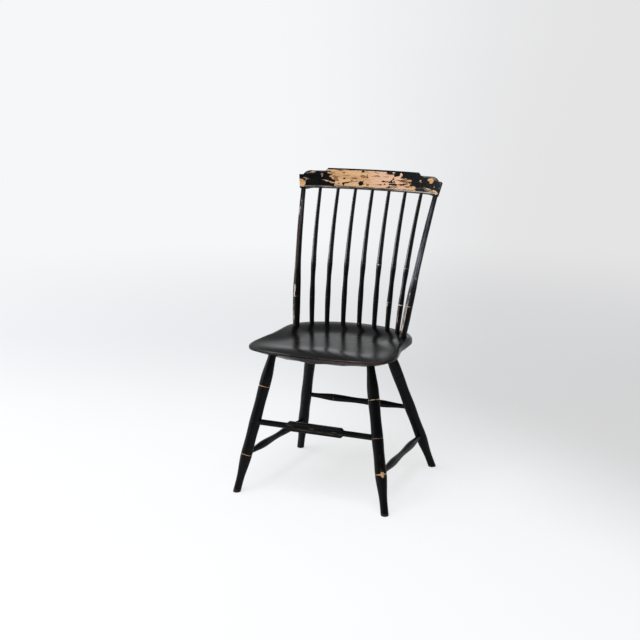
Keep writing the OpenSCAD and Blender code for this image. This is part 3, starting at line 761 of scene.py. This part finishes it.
# Bluish-grey painted highlight on post facets and spindle sides, and greyish wear on worn polish: (mm from
# the lowest ring, turn, length, width, amount)
SHEEN_AND_WEAR_FILMS = {
    "stretcher_right": ((60, -70, 130, 12, 0.3),),
    "leg_rear_left": ((-60, 0, 300, 6, 0.08),),
    "post_left": ((70, -50, 70, 3, 0.4), (260, 20, 60, 4, 0.3)),
    "post_right": (
        (122, -12, 112, 4.6, 0.95), (110, 37, 90, 1.1, 1.0), (250, -10, 70, 4, 0.5),
        (-30, -44, 40, 2, 0.4),
    ),
    "spindle_7": ((48, -32, 42, 2.8, 0.9),),
}
# Where hands have polished the back: (mm from the lower end where it starts, how much)
VARNISH = {"post_left": (150, 0.35), "post_right": (140, 0.9)}
SPINDLE_VARNISH = (170, 1.0)


def turn_of(own):
    """Degrees round a member: 0 faces the front, or the floor on a member that runs front to back."""
    return np.degrees(np.arctan2(own[:, 1], own[:, 0]))


def smudge(own, along, turn, length, width):
    """0 to 1 in a soft oval patch on a turned member; lengths in metres, its turn in degrees."""
    radius = np.linalg.norm(own[:, :2], axis=1)
    apart = (turn_of(own) - turn + 180) % 360 - 180
    return np.exp(-(((own[:, 2] - along) / length) ** 2) - (np.radians(apart) * radius / width) ** 2)


def ring_wear(own, rings, amounts, width):
    """Wear in a narrow band at each scored ring."""
    wear = np.zeros(len(own))
    for ring, amount in zip(rings, amounts):
        wear = np.maximum(wear, amount * np.exp(-(((own[:, 2] - ring) / width) ** 2)))
    return wear


def add_wear(piece, node, rings):
    """Stores where the paint is bare and where it is thin."""
    own = read(piece, "own", 3)
    amounts = RING_WEAR.get(node, SPINDLE_RINGS)
    bare = CHIPPED_ALL_OVER + ring_wear(own, rings, amounts, 1.3 * MM)
    thin = ring_wear(own, rings, [a * 1.2 for a in amounts], 3 * MM)
    for ring, offset, turn, length, width, gone, worn in PATCHES.get(node, ()):
        along = offset * MM + (0 if ring is None else rings[min(ring, len(rings) - 1)])
        patch = smudge(own, along, turn, length * MM, width * MM)
        bare = bare + gone * patch
        thin = thin + worn * patch
    store(piece, "bare", np.clip(bare, 0, 1))
    store(piece, "rub", np.clip(thin, 0, 1))
    start, amount = VARNISH.get(node, SPINDLE_VARNISH if node in SPINDLES else (0, 0))
    if amount:
        store(piece, "varnish", amount * bank(own[:, 2], start * MM, (start + 25) * MM))
    # Painted highlight and grey wear, stored for the material
    for offset, turn, length, width, amount in SHEEN_AND_WEAR_FILMS.get(node, ()):
        sheen_and_wear = amount * smudge(own, rings[0] + offset * MM, turn, length * MM, width * MM)
        before = read(piece, "sheen_and_wear") if "sheen_and_wear" in piece.data.attributes else 0
        store(piece, "sheen_and_wear", np.maximum(sheen_and_wear, before))


# ---------- Seat ----------
SEAT_TURNS = 420
EDGE_BAND = 14 * MM
# The top stays level this close to a spindle's or post's axis
FOOT_LEVEL = 13.5 * MM
# How many grid steps the top is smoothed over
TOP_SOFT = 8.0
# The front edge rolls down this much more, over this reach
FRONT_ROLL = 10 * MM
FRONT_REACH = 90 * MM


def seat_radius(tree, centre, span, height, ways):
    """How far the plank reaches from its middle at one height, for each way round."""
    return np.array([
        span - reach(tree, Vector(centre * [1, 1, 0] + way * span + [0, 0, height]), Vector(-way))
        for way in ways
    ])


def widest_height(tree, low, high, centre):
    """Height at which the plank's left side stands out most."""
    heights = np.arange(low[2] + 4 * MM, high[2] - 4 * MM, MM)
    edge_ray = [reach(tree, Vector((low[0] - 1, centre[1], z)), RIGHT, 9) for z in heights]
    return heights[int(np.argmin(edge_ray))]


def dished_top(tree, centre, deck, ways, inner, feet):
    """Rows of (distance from the middle, height) from the middle out to the edge band."""
    shares = np.linspace(0, 1, 78)[1:] ** 0.9
    rows = []
    for share in shares:
        row = [
            deck + 0.1 - reach(tree, Vector((*(centre[:2] + way[:2] * r * share), deck + 0.1)), -UP)
            for way, r in zip(ways, inner)
        ]
        rows.append(np.column_stack([inner * share, row]))
    top = np.array(rows)
    places = centre[:2] + ways[None, :, :2] * top[:, :, :1]
    for foot in feet:
        near = np.linalg.norm(places - np.array(foot[:2]), axis=2) < FOOT_LEVEL
        top[:, :, 1][near] = deck
    top[:, :, 1] = gaussian(gaussian(top[:, :, 1], TOP_SOFT, 1, True), TOP_SOFT, 0, False)
    return top


def rolled_edge(tree, centre, arris, ways, inner):
    """Rows of (distance, height) from the top over the nose of the edge and under it."""
    hub = Vector((0, 0, arris + 1 * MM))
    upper, nose, under = np.arange(86, 10, -5), np.arange(10, -30, -2.5), np.arange(-30, -86, -6)
    band = []
    for angle in np.radians(np.concatenate([upper, nose, under])):
        row = []
        for way, r in zip(ways, inner):
            start = Vector(centre * [1, 1, 0] + way * r) + hub
            ray = Vector(way * math.cos(angle)) + UP * math.sin(angle)
            row.append(reach(tree, start, ray))
        row = np.array(row)
        band.append(np.column_stack([inner + row * math.cos(angle), hub.z + row * math.sin(angle)]))
    return gaussian(np.array(band), 1.6, 1, True)


def underside(tree, centre, span, bottom, ways, edge):
    """Rows of (distance, height) from the edge's last row over the undercut to the flat bottom."""
    flat = gaussian(seat_radius(tree, centre, span, bottom + 0.5 * MM, ways), 3.0, 0, True)
    slope = (edge[:, 1] - bottom) / np.maximum(edge[:, 0] - flat, MM)
    rows = []
    for share in np.linspace(1, 0, 16)[1:-1]:
        run = edge[:, 0] * share
        rows.append(np.column_stack([run, bottom + np.maximum(0, slope * (run - flat))]))
    return np.array(rows)


def roll_front(top, band, rim, turns, arris):
    """Lowers the top and the upper half of the edge towards the front."""
    roll = FRONT_ROLL * bank(np.cos(turns), 0.2, 0.95)
    run_out = bank(FRONT_REACH - (rim - top[:, :, 0]), 0, FRONT_REACH)
    top[:, :, 1] -= roll * run_out**2
    above = np.maximum(band[:, :, 1] - arris, 0)
    band[:, :, 1] -= above / above[0] * roll * run_out[-1] ** 2


def seat_piece(material, feet):
    """The plank as a fan of profiles: dished top, rolled edge, undercut and flat underside."""
    tree, points = surface("seat")
    low, high = points.min(0), points.max(0)
    centre = (low + high) / 2
    span = np.linalg.norm(high - low)
    arris = widest_height(tree, low, high, centre)
    turns = np.arange(SEAT_TURNS) * 2 * math.pi / SEAT_TURNS
    ways = np.column_stack([np.sin(turns), -np.cos(turns), np.zeros(SEAT_TURNS)])
    rim = gaussian(seat_radius(tree, centre, span, arris, ways), 2.0, 0, True)
    inner = rim - EDGE_BAND
    top = dished_top(tree, centre, high[2], ways, inner, feet)
    band = rolled_edge(tree, centre, arris, ways, inner)
    under = underside(tree, centre, span, low[2], ways, band[-1])
    roll_front(top, band, rim, turns, arris)
    profile = np.concatenate([top, band, under])
    join = slice(len(top) - 6, len(top) + 8)
    profile[join] = gaussian(profile, 1.8, 0, False)[join]
    grid = np.dstack([
        centre[0] + ways[None, :, 0] * profile[:, :, 0],
        centre[1] + ways[None, :, 1] * profile[:, :, 0],
        profile[:, :, 1],
    ])
    flat = grid.reshape(-1, 3)
    top_middle = [centre[0], centre[1], float(top[0, :, 1].mean())]
    under_middle = [centre[0], centre[1], low[2]]
    faces = skin_faces(len(profile), SEAT_TURNS)
    first, last = len(flat), len(flat) + 1
    end = (len(profile) - 1) * SEAT_TURNS
    faces += [(first, (k + 1) % SEAT_TURNS, k) for k in range(SEAT_TURNS)]
    faces += [(last, end + k, end + (k + 1) % SEAT_TURNS) for k in range(SEAT_TURNS)]
    piece = new_mesh("visual_seat", np.vstack([flat, top_middle, under_middle]), faces)
    recalculate(piece)
    points = points_of(piece)
    share, turn = edge_share(points, centre, rim, turns)
    store(piece, "own", points[:, [1, 2, 0]])
    store(piece, "bare", seat_bare(points, share, arris, feet))
    store(piece, "rub", seat_rub(points, share, turn, arris))
    settle(piece, material, "black_paint", "seat")


def edge_share(points, centre, rim, turns):
    """(how far out each point of the seat lies, 1 at its rim; its turn round the middle, 0 at the front)."""
    off = points[:, :2] - centre[:2]
    turn = np.arctan2(off[:, 0], -off[:, 1]) % (2 * math.pi)
    return np.linalg.norm(off, axis=1) / np.interp(turn, turns, rim, period=2 * math.pi), turn


def seat_bare(points, share, arris, feet):
    """Bare wood along the arris of the edge and in a ring round each spindle's foot."""
    near_arris = np.exp(-(((points[:, 2] - arris) / (2.2 * MM)) ** 2)) * (share > 0.97)
    bare = 0.12 * near_arris
    for foot in feet:
        away = np.linalg.norm(points[:, :2] - np.array(foot[:2]), axis=1)
        ring = np.exp(-(((away - 8 * MM) / (1.6 * MM)) ** 2)) * (points[:, 2] > arris)
        bare = np.maximum(bare, 0.34 * ring)
    return np.clip(bare, 0, 1)


def seat_rub(points, share, turn, arris):
    """Thin, brownish paint on the edge and under it, most of all at the front right corner."""
    edge = np.clip((share - 0.93) / 0.07, 0, 1)
    degrees = np.degrees(turn)
    corner = np.exp(-(((degrees - 40) / 26) ** 2)) + 0.2 * np.exp(-(((degrees - 330) / 30) ** 2))
    below = bank(arris - points[:, 2], 0, 4 * MM) * bank(share, 0.8, 0.9)
    return np.clip(edge * (0.3 + 0.6 * corner) + below * (0.4 + 0.5 * corner), 0, 1)


# ---------- Crest rail ----------
EASE = 1.4 * MM
END_EASE = 1.6 * MM
PAINT_FILM = 0.16 * MM


class Rail:
    """The crest rail's own frame: x along it, u up its face, n through it; 0, 0, 0 is the face's middle."""

    def __init__(self, node):
        self.tree, points = surface(node)
        self.low, self.high = points.min(0), points.max(0)
        middle = (self.low[2] + self.high[2]) / 2
        step = 12 * MM
        lean = self.face_y(middle + step) - self.face_y(middle - step)
        rake = math.atan2(lean, 2 * step)
        self.up = Vector((0, math.sin(rake), math.cos(rake)))
        self.through = Vector((0, math.cos(rake), -math.sin(rake)))
        self.origin = Vector((0, self.face_y(middle), middle))
        self.thickness = 0.3 - reach(self.tree, self.origin + self.through * 0.3, -self.through)
        self.radius = self.bow_radius(0.1)
        edge = self.outline(np.array([0.0]), 1)[0]
        self.origin = self.origin + self.up * float(edge)
        self.height = self.outline(np.array([0.0]), -1)[0]
        self.top_half = self.high[0] - 0.05 * MM
        ends = np.arange(self.top_half - 20 * MM, self.top_half, 0.2 * MM)
        steep = np.diff(self.outline(ends, 1)) > 0.2 * MM * 2
        self.low_half = ends[int(np.argmax(steep))] if steep.any() else self.top_half

    def face_y(self, height):
        return reach(self.tree, Vector((0, -1, height)), -FRONT) - 1

    def bow_radius(self, half):
        sag = 0.3 - reach(self.tree, self.origin + RIGHT * half - self.through * 0.3, self.through)
        return (half**2 + sag**2) / (2 * sag)

    def face_n(self, x):
        return np.sqrt(self.radius**2 - x**2) - self.radius

    def back_n(self, x):
        outer = self.radius + self.thickness
        return np.sqrt(outer**2 - x**2) - outer + self.thickness

    def place(self, x, u, n):
        return self.origin + RIGHT * float(x) + self.up * float(u) + self.through * float(n)

    def outline(self, xs, side):
        """Heights of the face's lower edge, side 1, or upper edge, side -1."""
        far = 0.2 * side
        return np.array([
            side * reach(self.tree, self.place(x, -far, self.face_n(x) + 0.9 * MM), self.up * side) - far
            for x in xs
        ])

    def groove(self, x, u):
        """Depth of the scored bead line below the face at one place."""
        start = self.place(x, u, self.face_n(x) - 0.1)
        return min(max(reach(self.tree, start, self.through, 0.1) - 0.1, 0.0), 1.2 * MM)


def corner(count=4):
    """Turns, in radians, of the points that round a quarter off."""
    return [(k + 0.5) / count * math.pi / 2 for k in range(count)]


def rail_ring(width, face, back, inset, bead):
    """One closed section: (height, n, face share) from the lower front edge up, over and down the back."""
    low, top = EASE + inset, width - EASE - inset
    front, rear = face + inset, back - inset
    rows = np.concatenate([
        np.linspace(low, bead - 2 * MM, 3, endpoint=False),
        np.arange(-2 * MM, 2 * MM, 0.35 * MM) + bead,
        np.linspace(bead + 2.2 * MM, top, 50),
    ])
    ring = [(w, front, 1.0) for w in np.maximum(rows, low)]
    ring += [(top + EASE * math.sin(a), front + EASE * (1 - math.cos(a)), 0.5) for a in corner()]
    ring += [(top + EASE, n, 0.0) for n in np.linspace(front + EASE, rear - EASE, 5)]
    ring += [(top + EASE * math.cos(a), rear - EASE * (1 - math.sin(a)), 0.0) for a in corner()]
    ring += [(w, rear, 0.0) for w in np.linspace(top, low, 26)]
    ring += [(low - EASE * math.sin(a), rear - EASE * (1 - math.cos(a)), 0.0) for a in corner()]
    ring += [(low - EASE, n, 0.0) for n in np.linspace(rear - EASE, front + EASE, 5)]
    ring += [(low - EASE * math.cos(a), front + EASE * (1 - math.sin(a)), 0.5) for a in corner()]
    return np.array(ring)


def rail_columns(rail):
    """Shares of the half length, from 0 to 1, closer at the steps, at the ears and at the ends."""
    xs = np.arange(0, rail.top_half, 0.5 * MM)
    change = np.abs(np.gradient(rail.outline(xs, -1), xs))
    weight = np.cumsum(0.5 * MM * (1 / (1.1 * MM) + np.minimum(change, 3) * 0.9 / MM))
    count = int(weight[-1])
    shares = np.interp(np.arange(count), weight, xs / rail.top_half)
    shares = shares[(shares > 0.001) & (shares < 1 - 2.2 * END_EASE / rail.top_half)]
    close = 1 - END_EASE / rail.top_half * np.array([1, 0.62, 0.34, 0.14, 0.04, 0])
    return np.concatenate([[0], shares, close])


def crest_piece(material, node):
    """The rail as closed sections side by side, with eased edges, a scored bead and worn paint."""
    rail = Rail(node)
    half = rail_columns(rail)
    shares = np.concatenate([-half[:0:-1], half])
    ramp = np.clip((np.abs(shares) - 0.8) / 0.2, 0, 1) ** 2
    low_x = shares * rail.low_half
    top_x = low_x + np.sign(shares) * ramp * (rail.top_half - rail.low_half)
    low_u = gaussian(rail.outline(low_x, 1), 1.0, 0, False)
    top_u = gaussian(rail.outline(top_x, -1), 1.0, 0, False)
    bead = bead_height(rail)
    points, maps = [], []
    for share, x0, x1, u0, u1 in zip(shares, low_x, top_x, low_u, top_u):
        left = (1 - abs(share)) * rail.top_half
        inset = END_EASE - math.sqrt(max(0.0, END_EASE**2 - max(0.0, END_EASE - left) ** 2))
        x = x0
        width = math.hypot(x1 - x0, u1 - u0)
        ring = rail_ring(width, rail.face_n(x), rail.back_n(x), inset, bead)
        for w, n, face in ring:
            s = w / width
            px, pu = x0 + (x1 - x0) * s, u0 + (u1 - u0) * s
            bend = rail.face_n(px) - rail.face_n(x)
            if face == 1.0 and abs(w - bead) < 2.5 * MM:
                n = n + rail.groove(px, pu)
            points.append(rail.place(px, pu, n + bend))
            maps.append((px, pu, n - rail.face_n(x), face))
    maps = np.array(maps)
    count = len(ring)
    faces = skin_faces(len(shares), count)
    caps = []
    for first in (0, (len(shares) - 1) * count):
        caps.append(sum((points[first + k] for k in range(count)), Vector()) / count)
        hub = len(points) + len(caps) - 1
        faces += [(hub, first + k, first + (k + 1) % count) for k in range(count)]
    ends = [(s * rail.low_half, 0.01, rail.thickness / 2, 0.0) for s in (-1, 1)]
    maps = np.vstack([maps, ends])
    wear = crest_wear(maps, rail)
    through = np.array(rail.through)
    sunk = (maps[:, 3] > 0.2) * bank(wear["bare"], 0.42, 0.62) * PAINT_FILM
    points = np.array([tuple(p) for p in points + caps]) + sunk[:, None] * through
    piece = new_mesh("visual_" + node, points, faces)
    recalculate(piece)
    store(piece, "own", maps[:, [2, 1, 0]])
    for name, values in wear.items():
        store(piece, name, values)
    settle(piece, material, "peeled_crest", node)


def bead_height(rail):
    """Height of the scored line above the lower edge, where the face is cut deepest."""
    heights = np.arange(1.5 * MM, 14 * MM, 0.25 * MM)
    return float(heights[int(np.argmax([rail.groove(0.03, u) for u in heights]))])


# Wear of the rail's face. Places are millimetres on a rail 453 long and 61 high:
# x from the middle, u up from the lower edge. A mark is (x, u, length, height, turn in degrees).
MAP_HALF = 226.5
MAP_HEIGHT = 61.0
# The rail's level edges bend down away from its middle, as it is bowed and leans back
EDGE_SAG = 0.0003
# Fixes the drift that turns the marks ragged
WANDER_SEED = 57
# Painted highlight along the lower bead: how pale it is, as (x, amount) from the left end to the right one
BEAD_HIGHLIGHT = ((-215, 0.2), (-190, 0.7), (-110, 0.6), (-60, 0.25), (40, 0.3), (90, 0.9), (226, 1.0))
# The left and right ends of the peeled stretch, as (u, x) going up
PEEL_LEFT = (
    (2, -118), (17, -121), (20, -128), (25, -139), (30, -142), (35, -136), (40, -143), (46, -147),
    (60, -147),
)
PEEL_RIGHT = (
    (2, 146), (9, 143), (13, 128), (20, 122), (30, 124), (37, 104), (42, 74), (48, 66), (55, 64),
    (60, 20),
)
# Where paint is left inside that stretch
CHIPS = (
    (-36, 16, 17, 14, 0), (-28, 13, 6, 4, -30), (-84, 13, 21, 6, 28), (-90, 9, 8, 9, 0),
    (-92, 27, 8, 6, -10), (-69, 23, 4, 4, 0), (-57, 21, 8, 4, 0), (-107, 10, 7, 4, 20),
    (-35, 53, 9, 8, 0), (-23, 35, 8, 5, 0), (35, 25, 9, 5, 10), (52, 24, 30, 7, -4), (66, 16, 20, 8, 0),
    (73, 25, 6, 6, 0), (25, 16, 8, 3, 0), (57, 8, 15, 4, 3), (65, 35, 6, 6, 0), (52, 52, 30, 6, -12),
    (74, 44, 12, 8, 0), (40, 17, 8, 3, 10), (-148, 33, 30, 8, 0), (-134, 44, 16, 3, 6),
    (-136, 36, 14, 2.5, -4), (88, 30, 26, 3, -6), (100, 18, 24, 3, 0), (118, 24, 14, 4, -20),
    (70, 9, 30, 2.5, 0), (95, 38, 16, 4, -16), (112, 10, 22, 2.5, 0), (62, 30, 8, 5, 40),
)
# Dark stains in the bare wood
STAINS = (
    (-117, 30, 22, 7, -8), (-118, 19, 36, 6, -6), (-110, 50, 16, 4, 0), (-97, 45, 12, 4, 0),
    (107, 25, 17, 12, -15), (10, 41, 26, 4, 0), (5, 51, 10, 4, 0), (-18, 13, 8, 8, 0),
    (-24, 44, 3, 26, 0), (75, 50, 16, 8, 0), (48, 49, 22, 7, -10), (-60, 30, 26, 4, 5),
    (15, 14, 30, 3, 0), (105, 33, 28, 4, -10), (-128, 40, 14, 5, 0), (-75, 17, 30, 4, 6),
    (92, 16, 40, 4, -4), (118, 12, 26, 3, 0), (-45, 22, 20, 3, 0), (-32, 38, 12, 9, 0),
    (-34, 52, 16, 5, 0), (-120, 25, 30, 6, -10), (-88, 36, 34, 2, 0), (20, 36, 26, 2, 0),
    (98, 27, 26, 10, -20), (-8, 22, 16, 2, 0), (40, 40, 20, 2, -4),
)
# Bare wood outside the peeled stretch
BARE_SPOTS = (
    (-217, -3, 26, 24, -30), (-190, 38, 17, 2.5, 22), (-132, 12, 42, 4, -10), (188, 30, 22, 9, -12),
    (192, 22, 11, 10, 40), (155, 28, 8, 3.5, 20), (86, 46, 10, 12, -30), (82, 38, 14, 8, 0),
    (184, 4, 26, 4, -18), (209, -6, 16, 5, -24), (213, -11, 9, 9, 0), (45, 22, 12, 3, 10),
    (60, 13, 14, 2.5, 0), (-203, 13, 3.5, 2.5, 0), (-160, 33, 4, 1.6, 0),
)
# Paint that is pale with dust and scuffs, and pale painted highlights on the bead and on the right end's
# arris
DUST_AND_HIGHLIGHT_MARKS = (
    (-190, 37, 26, 5, 22), (172, 41, 30, 4, -16), (196, 34, 34, 5, -24), (196, -4, 50, 9, -16),
    (120, 8, 60, 4, -4), (226, 6, 4, 36, 0), (-203, 13, 8, 5, 0), (-160, 33, 9, 4, 0),
    (190, 38, 60, 3, -16), (-160, 44, 40, 3, 8),
)


def oval(x, u, mark):
    """Distance inside a tilted oval in millimetres, below 0 outside it."""
    cx, cu, length, height, turn = mark
    c, s = math.cos(math.radians(turn)), math.sin(math.radians(turn))
    along, over = (x - cx) * c + (u - cu) * s, (u - cu) * c - (x - cx) * s
    return (1 - np.hypot(along / (length / 2), over / (height / 2))) * min(length, height) / 2


def wander(x, u, length, height, layer):
    """Smooth sideways and upward drift, from -1 to 1, that turns plain ovals into ragged marks."""
    noise.seed_set(WANDER_SEED)
    drift = [noise.noise_vector((a / length, b / height, layer)) for a, b in zip(x, u)]
    return np.array(drift)[:, :2].T


def crest_wear(maps, rail):
    """Maps of one value a point: bare, stained, pale with dust and painted highlights, and pinkish."""
    x = maps[:, 0] / rail.top_half * MAP_HALF
    u = maps[:, 1] / rail.height * MAP_HEIGHT
    rise = u + EDGE_SAG * x**2
    face = maps[:, 3]
    broad, close = wander(x, u, 17, 7, 2.5), wander(x, u, 6, 2.6, 7.5)
    x1 = x + 8 * broad[0] + 3.5 * close[0]
    u1 = u + 2.6 * broad[1] + 1.6 * close[1]
    left, right = (np.interp(u1, *zip(*line)) for line in (PEEL_LEFT, PEEL_RIGHT))
    inside = np.minimum((x1 - left) * 0.6, (right - x1) * 0.26)
    inside = np.minimum(inside, np.minimum((rise - 5) * 1.1, (56.0 - rise) * 1.4))
    for mark in CHIPS:
        inside = np.minimum(inside, -oval(x1, u1, mark) * 1.4)
    for mark in BARE_SPOTS:
        inside = np.maximum(inside, oval(x + 3 * broad[0], u1, mark) * 1.3)
    bare = bank(0.5 + inside / 9.0)
    stain = np.zeros(len(x))
    for mark in STAINS:
        stain = np.maximum(stain, bank(0.55 + oval(x1, u1, mark) / 4.0))
    # Painted highlight along the lower bead, then marks of dust and of painted highlight
    dust_and_highlight = np.interp(x, *zip(*BEAD_HIGHLIGHT)) * bank(1.3 - np.abs(rise - 2.2) / 2.2)
    for mark in DUST_AND_HIGHLIGHT_MARKS:
        dust_and_highlight = np.maximum(dust_and_highlight, bank(0.4 + oval(x1, u1, mark) / 4.0) * 0.7)
    blush = bank(x, -50, 30) * bank(-x, -150, -90)
    edges = np.exp(-((maps[:, 2] - rail.thickness) / (1.5 * MM)) ** 2) * (face == 0)
    other = 0.16 + 0.2 * edges
    return {"bare": bare * face + other * (1 - face), "stain": stain, "dust_and_highlight": dust_and_highlight * face, "blush": blush}


# ---------- Stage and light ----------
FLOOR_WHITE = (1.08, 1.08, 1.08)
BACKDROP_LEFT = srgb(246, 247, 249)
BACKDROP_RIGHT = srgb(228, 228, 229)
# Colour of the chair's painted shadow on the floor, to the right and back
FLOOR_PAINTED_SHADOW = srgb(222, 221, 220)
BACKWARD = (-0.4, 0.917, 0.0)
BACK_AND_LEFT = (-0.6, 0.77, 0.2)
SIDEWARD = (0.917, 0.4, 0.0)


def camera_ray(t):
    return t.add("ShaderNodeLightPath", out=0)


def dot(t, where, way):
    return t.add("ShaderNodeVectorMath", {0: where, 1: way}, out=1, operation="DOT_PRODUCT")


def backdrop(t, side):
    """The wall's colour, a little darker at the right."""
    return t.mix(t.between(side, -0.06, 0.22), BACKDROP_LEFT, BACKDROP_RIGHT)


def make_stage():
    """A pale floor that fades into the even backdrop of the world a few metres out, with a painted shadow to
    the right and back of the chair.
    """
    floor = new_mesh("floor", [(-40, -40, 0), (40, -40, 0), (40, 40, 0), (-40, 40, 0)], [(0, 1, 2, 3)])
    material, t = new_material("pale floor")
    place = t.add("ShaderNodeTexCoord", out=3)
    away = t.add("ShaderNodeVectorMath", {0: place}, out=1, operation="LENGTH")
    mottle = t.noise(place, 2.2, 3.0)
    base = t.mix(mottle, srgb(246, 246, 247), srgb(240, 240, 241))
    near = t.add("ShaderNodeBsdfDiffuse", {"Color": base})
    wall = backdrop(t, dot(t, place, SIDEWARD) / (away + 1.5))
    back, aside = dot(t, place, BACKWARD), dot(t, place, SIDEWARD)
    # Painted shadow: seen by the camera, the floor darkens to the right and back of the chair
    floor_with_painted_shadow = t.mix(t.between(back * 0.6 + aside, 0.2, 1.1), FLOOR_WHITE, FLOOR_PAINTED_SHADOW)
    floor_with_painted_shadow = t.mix(t.between(back, 0.3, 1.8), floor_with_painted_shadow, wall)
    floor_with_painted_shadow = t.mix(t.between(away, 4.0, 16.0), floor_with_painted_shadow, wall)
    far = t.add("ShaderNodeEmission", {"Color": floor_with_painted_shadow})
    share = (t.between(away, 0.9, 4.2) * 0.4 + 0.6) * camera_ray(t)
    t.add("ShaderNodeOutputMaterial", {0: t.add("ShaderNodeMixShader", {0: share, 1: near, 2: far})})
    floor.data.materials.append(material)


def make_light():
    """An even pale room, dimmer on the viewer's side, with a window at the left and a light overhead."""
    world = bpy.data.worlds.new("studio")
    bpy.context.scene.world = world
    world.use_nodes = True
    world.node_tree.nodes.clear()
    t = Tree(world.node_tree)
    way = t.add("ShaderNodeTexCoord", out=0)
    level = t.between(dot(t, way, (0, 0, 1)), 0.42, 0.03)
    room = t.between(dot(t, way, BACK_AND_LEFT), -0.1, 0.8) * (level * 0.95 + 0.2) + 0.06
    room = t.add("ShaderNodeBackground", {"Color": (0.97, 0.985, 1.0, 1), "Strength": room})
    plain = t.add("ShaderNodeBackground", {"Color": backdrop(t, dot(t, way, SIDEWARD))})
    mixed = t.add("ShaderNodeMixShader", {0: camera_ray(t), 1: room, 2: plain})
    t.add("ShaderNodeOutputWorld", {"Surface": mixed})
    for name, place, size, power, mirrored in (
        ("window", (-2.9, -0.6, 1.35), (5.6, 1.3), 62.0, True),
        ("overhead", (0.0, -1.5, 3.2), (2.8, 2.8), 96.0, False),
    ):
        data = bpy.data.lights.new(name, "AREA")
        data.shape = "RECTANGLE"
        data.size, data.size_y = size
        data.energy = power
        data.color = (0.93, 0.96, 1.0)
        lamp = bpy.data.objects.new(name, data)
        lamp.location = place
        lamp.rotation_euler = (Vector((0, 0, 0.6)) - Vector(place)).to_track_quat("-Z", "Y").to_euler()
        lamp.visible_glossy = mirrored
        bpy.context.scene.collection.objects.link(lamp)


def build():
    """Every piece, in the order in which the members are turned, carved and sawn."""
    skin_tree = turned_tree()
    paint = painted_wood("worn black paint")
    seat_low, seat_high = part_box("seat")
    deck = seat_high.z
    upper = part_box("crest_rail")[0].z + RAIL_COVER
    turned = [(n, dict(sides=30, straight=False, upper=upper)) for n in SPINDLES]
    turned += [(n, dict(sides=48, straight=False, upper=upper, faceted=True)) for n in POSTS]
    for how in turned:
        how[1].update(lower=deck - DECK_COVER, scored=True)
    turned += [(n, dict(sides=56, upper=seat_low.z + SEAT_COVER, foot=True)) for n in LEGS]
    turned += [(n, dict(sides=40)) for n in BOBBINS]
    back_paint = painted_wood("worn back paint", WOOD_GREY, gloss=0.3, polish=0.04, brushed=0.3)
    for seed, (node, how) in enumerate(turned):
        coat = back_paint if node in SPINDLES + POSTS else paint
        piece, rings = turned_piece(node, skin_tree, coat, seed, **how)
        add_wear(piece, node, rings)
        settle(piece, coat, "black_paint", node)
    piece = carved_piece("stretcher_front")
    add_wear(piece, "stretcher_front", [])
    own = read(piece, "own", 3)
    marks = [smudge(own, a * MM, turn, length * MM, width * MM) for a, turn, length, width in GILT]
    store(piece, "gilt", np.max(marks, axis=0))
    settle(piece, paint, "black_paint", "stretcher_front")
    wood = end_grain("peg wood")
    for node in PEGS:
        settle(carved_piece(node, 28, 0.3 * MM, 0.6), wood, "peg_wood", node)
    feet = [spindle_foot(n, deck) for n in SPINDLES + POSTS]
    seat_piece(painted_wood("worn seat paint", gloss=0.3, polish=0.12, brushed=0.2), feet)
    crest_piece(peeled_rail("peeled crest"), "crest_rail")


def spindle_foot(node, deck):
    """Where a member's axis meets the deck."""
    points = points_of(bpy.data.objects["visual_" + node])
    near = points[np.abs(points[:, 2] - deck) < 2.5 * MM]
    return (near.min(0) + near.max(0)) / 2


make_camera()
make_stage()
make_light()
build()

scene = bpy.context.scene
scene.view_settings.view_transform = "Standard"
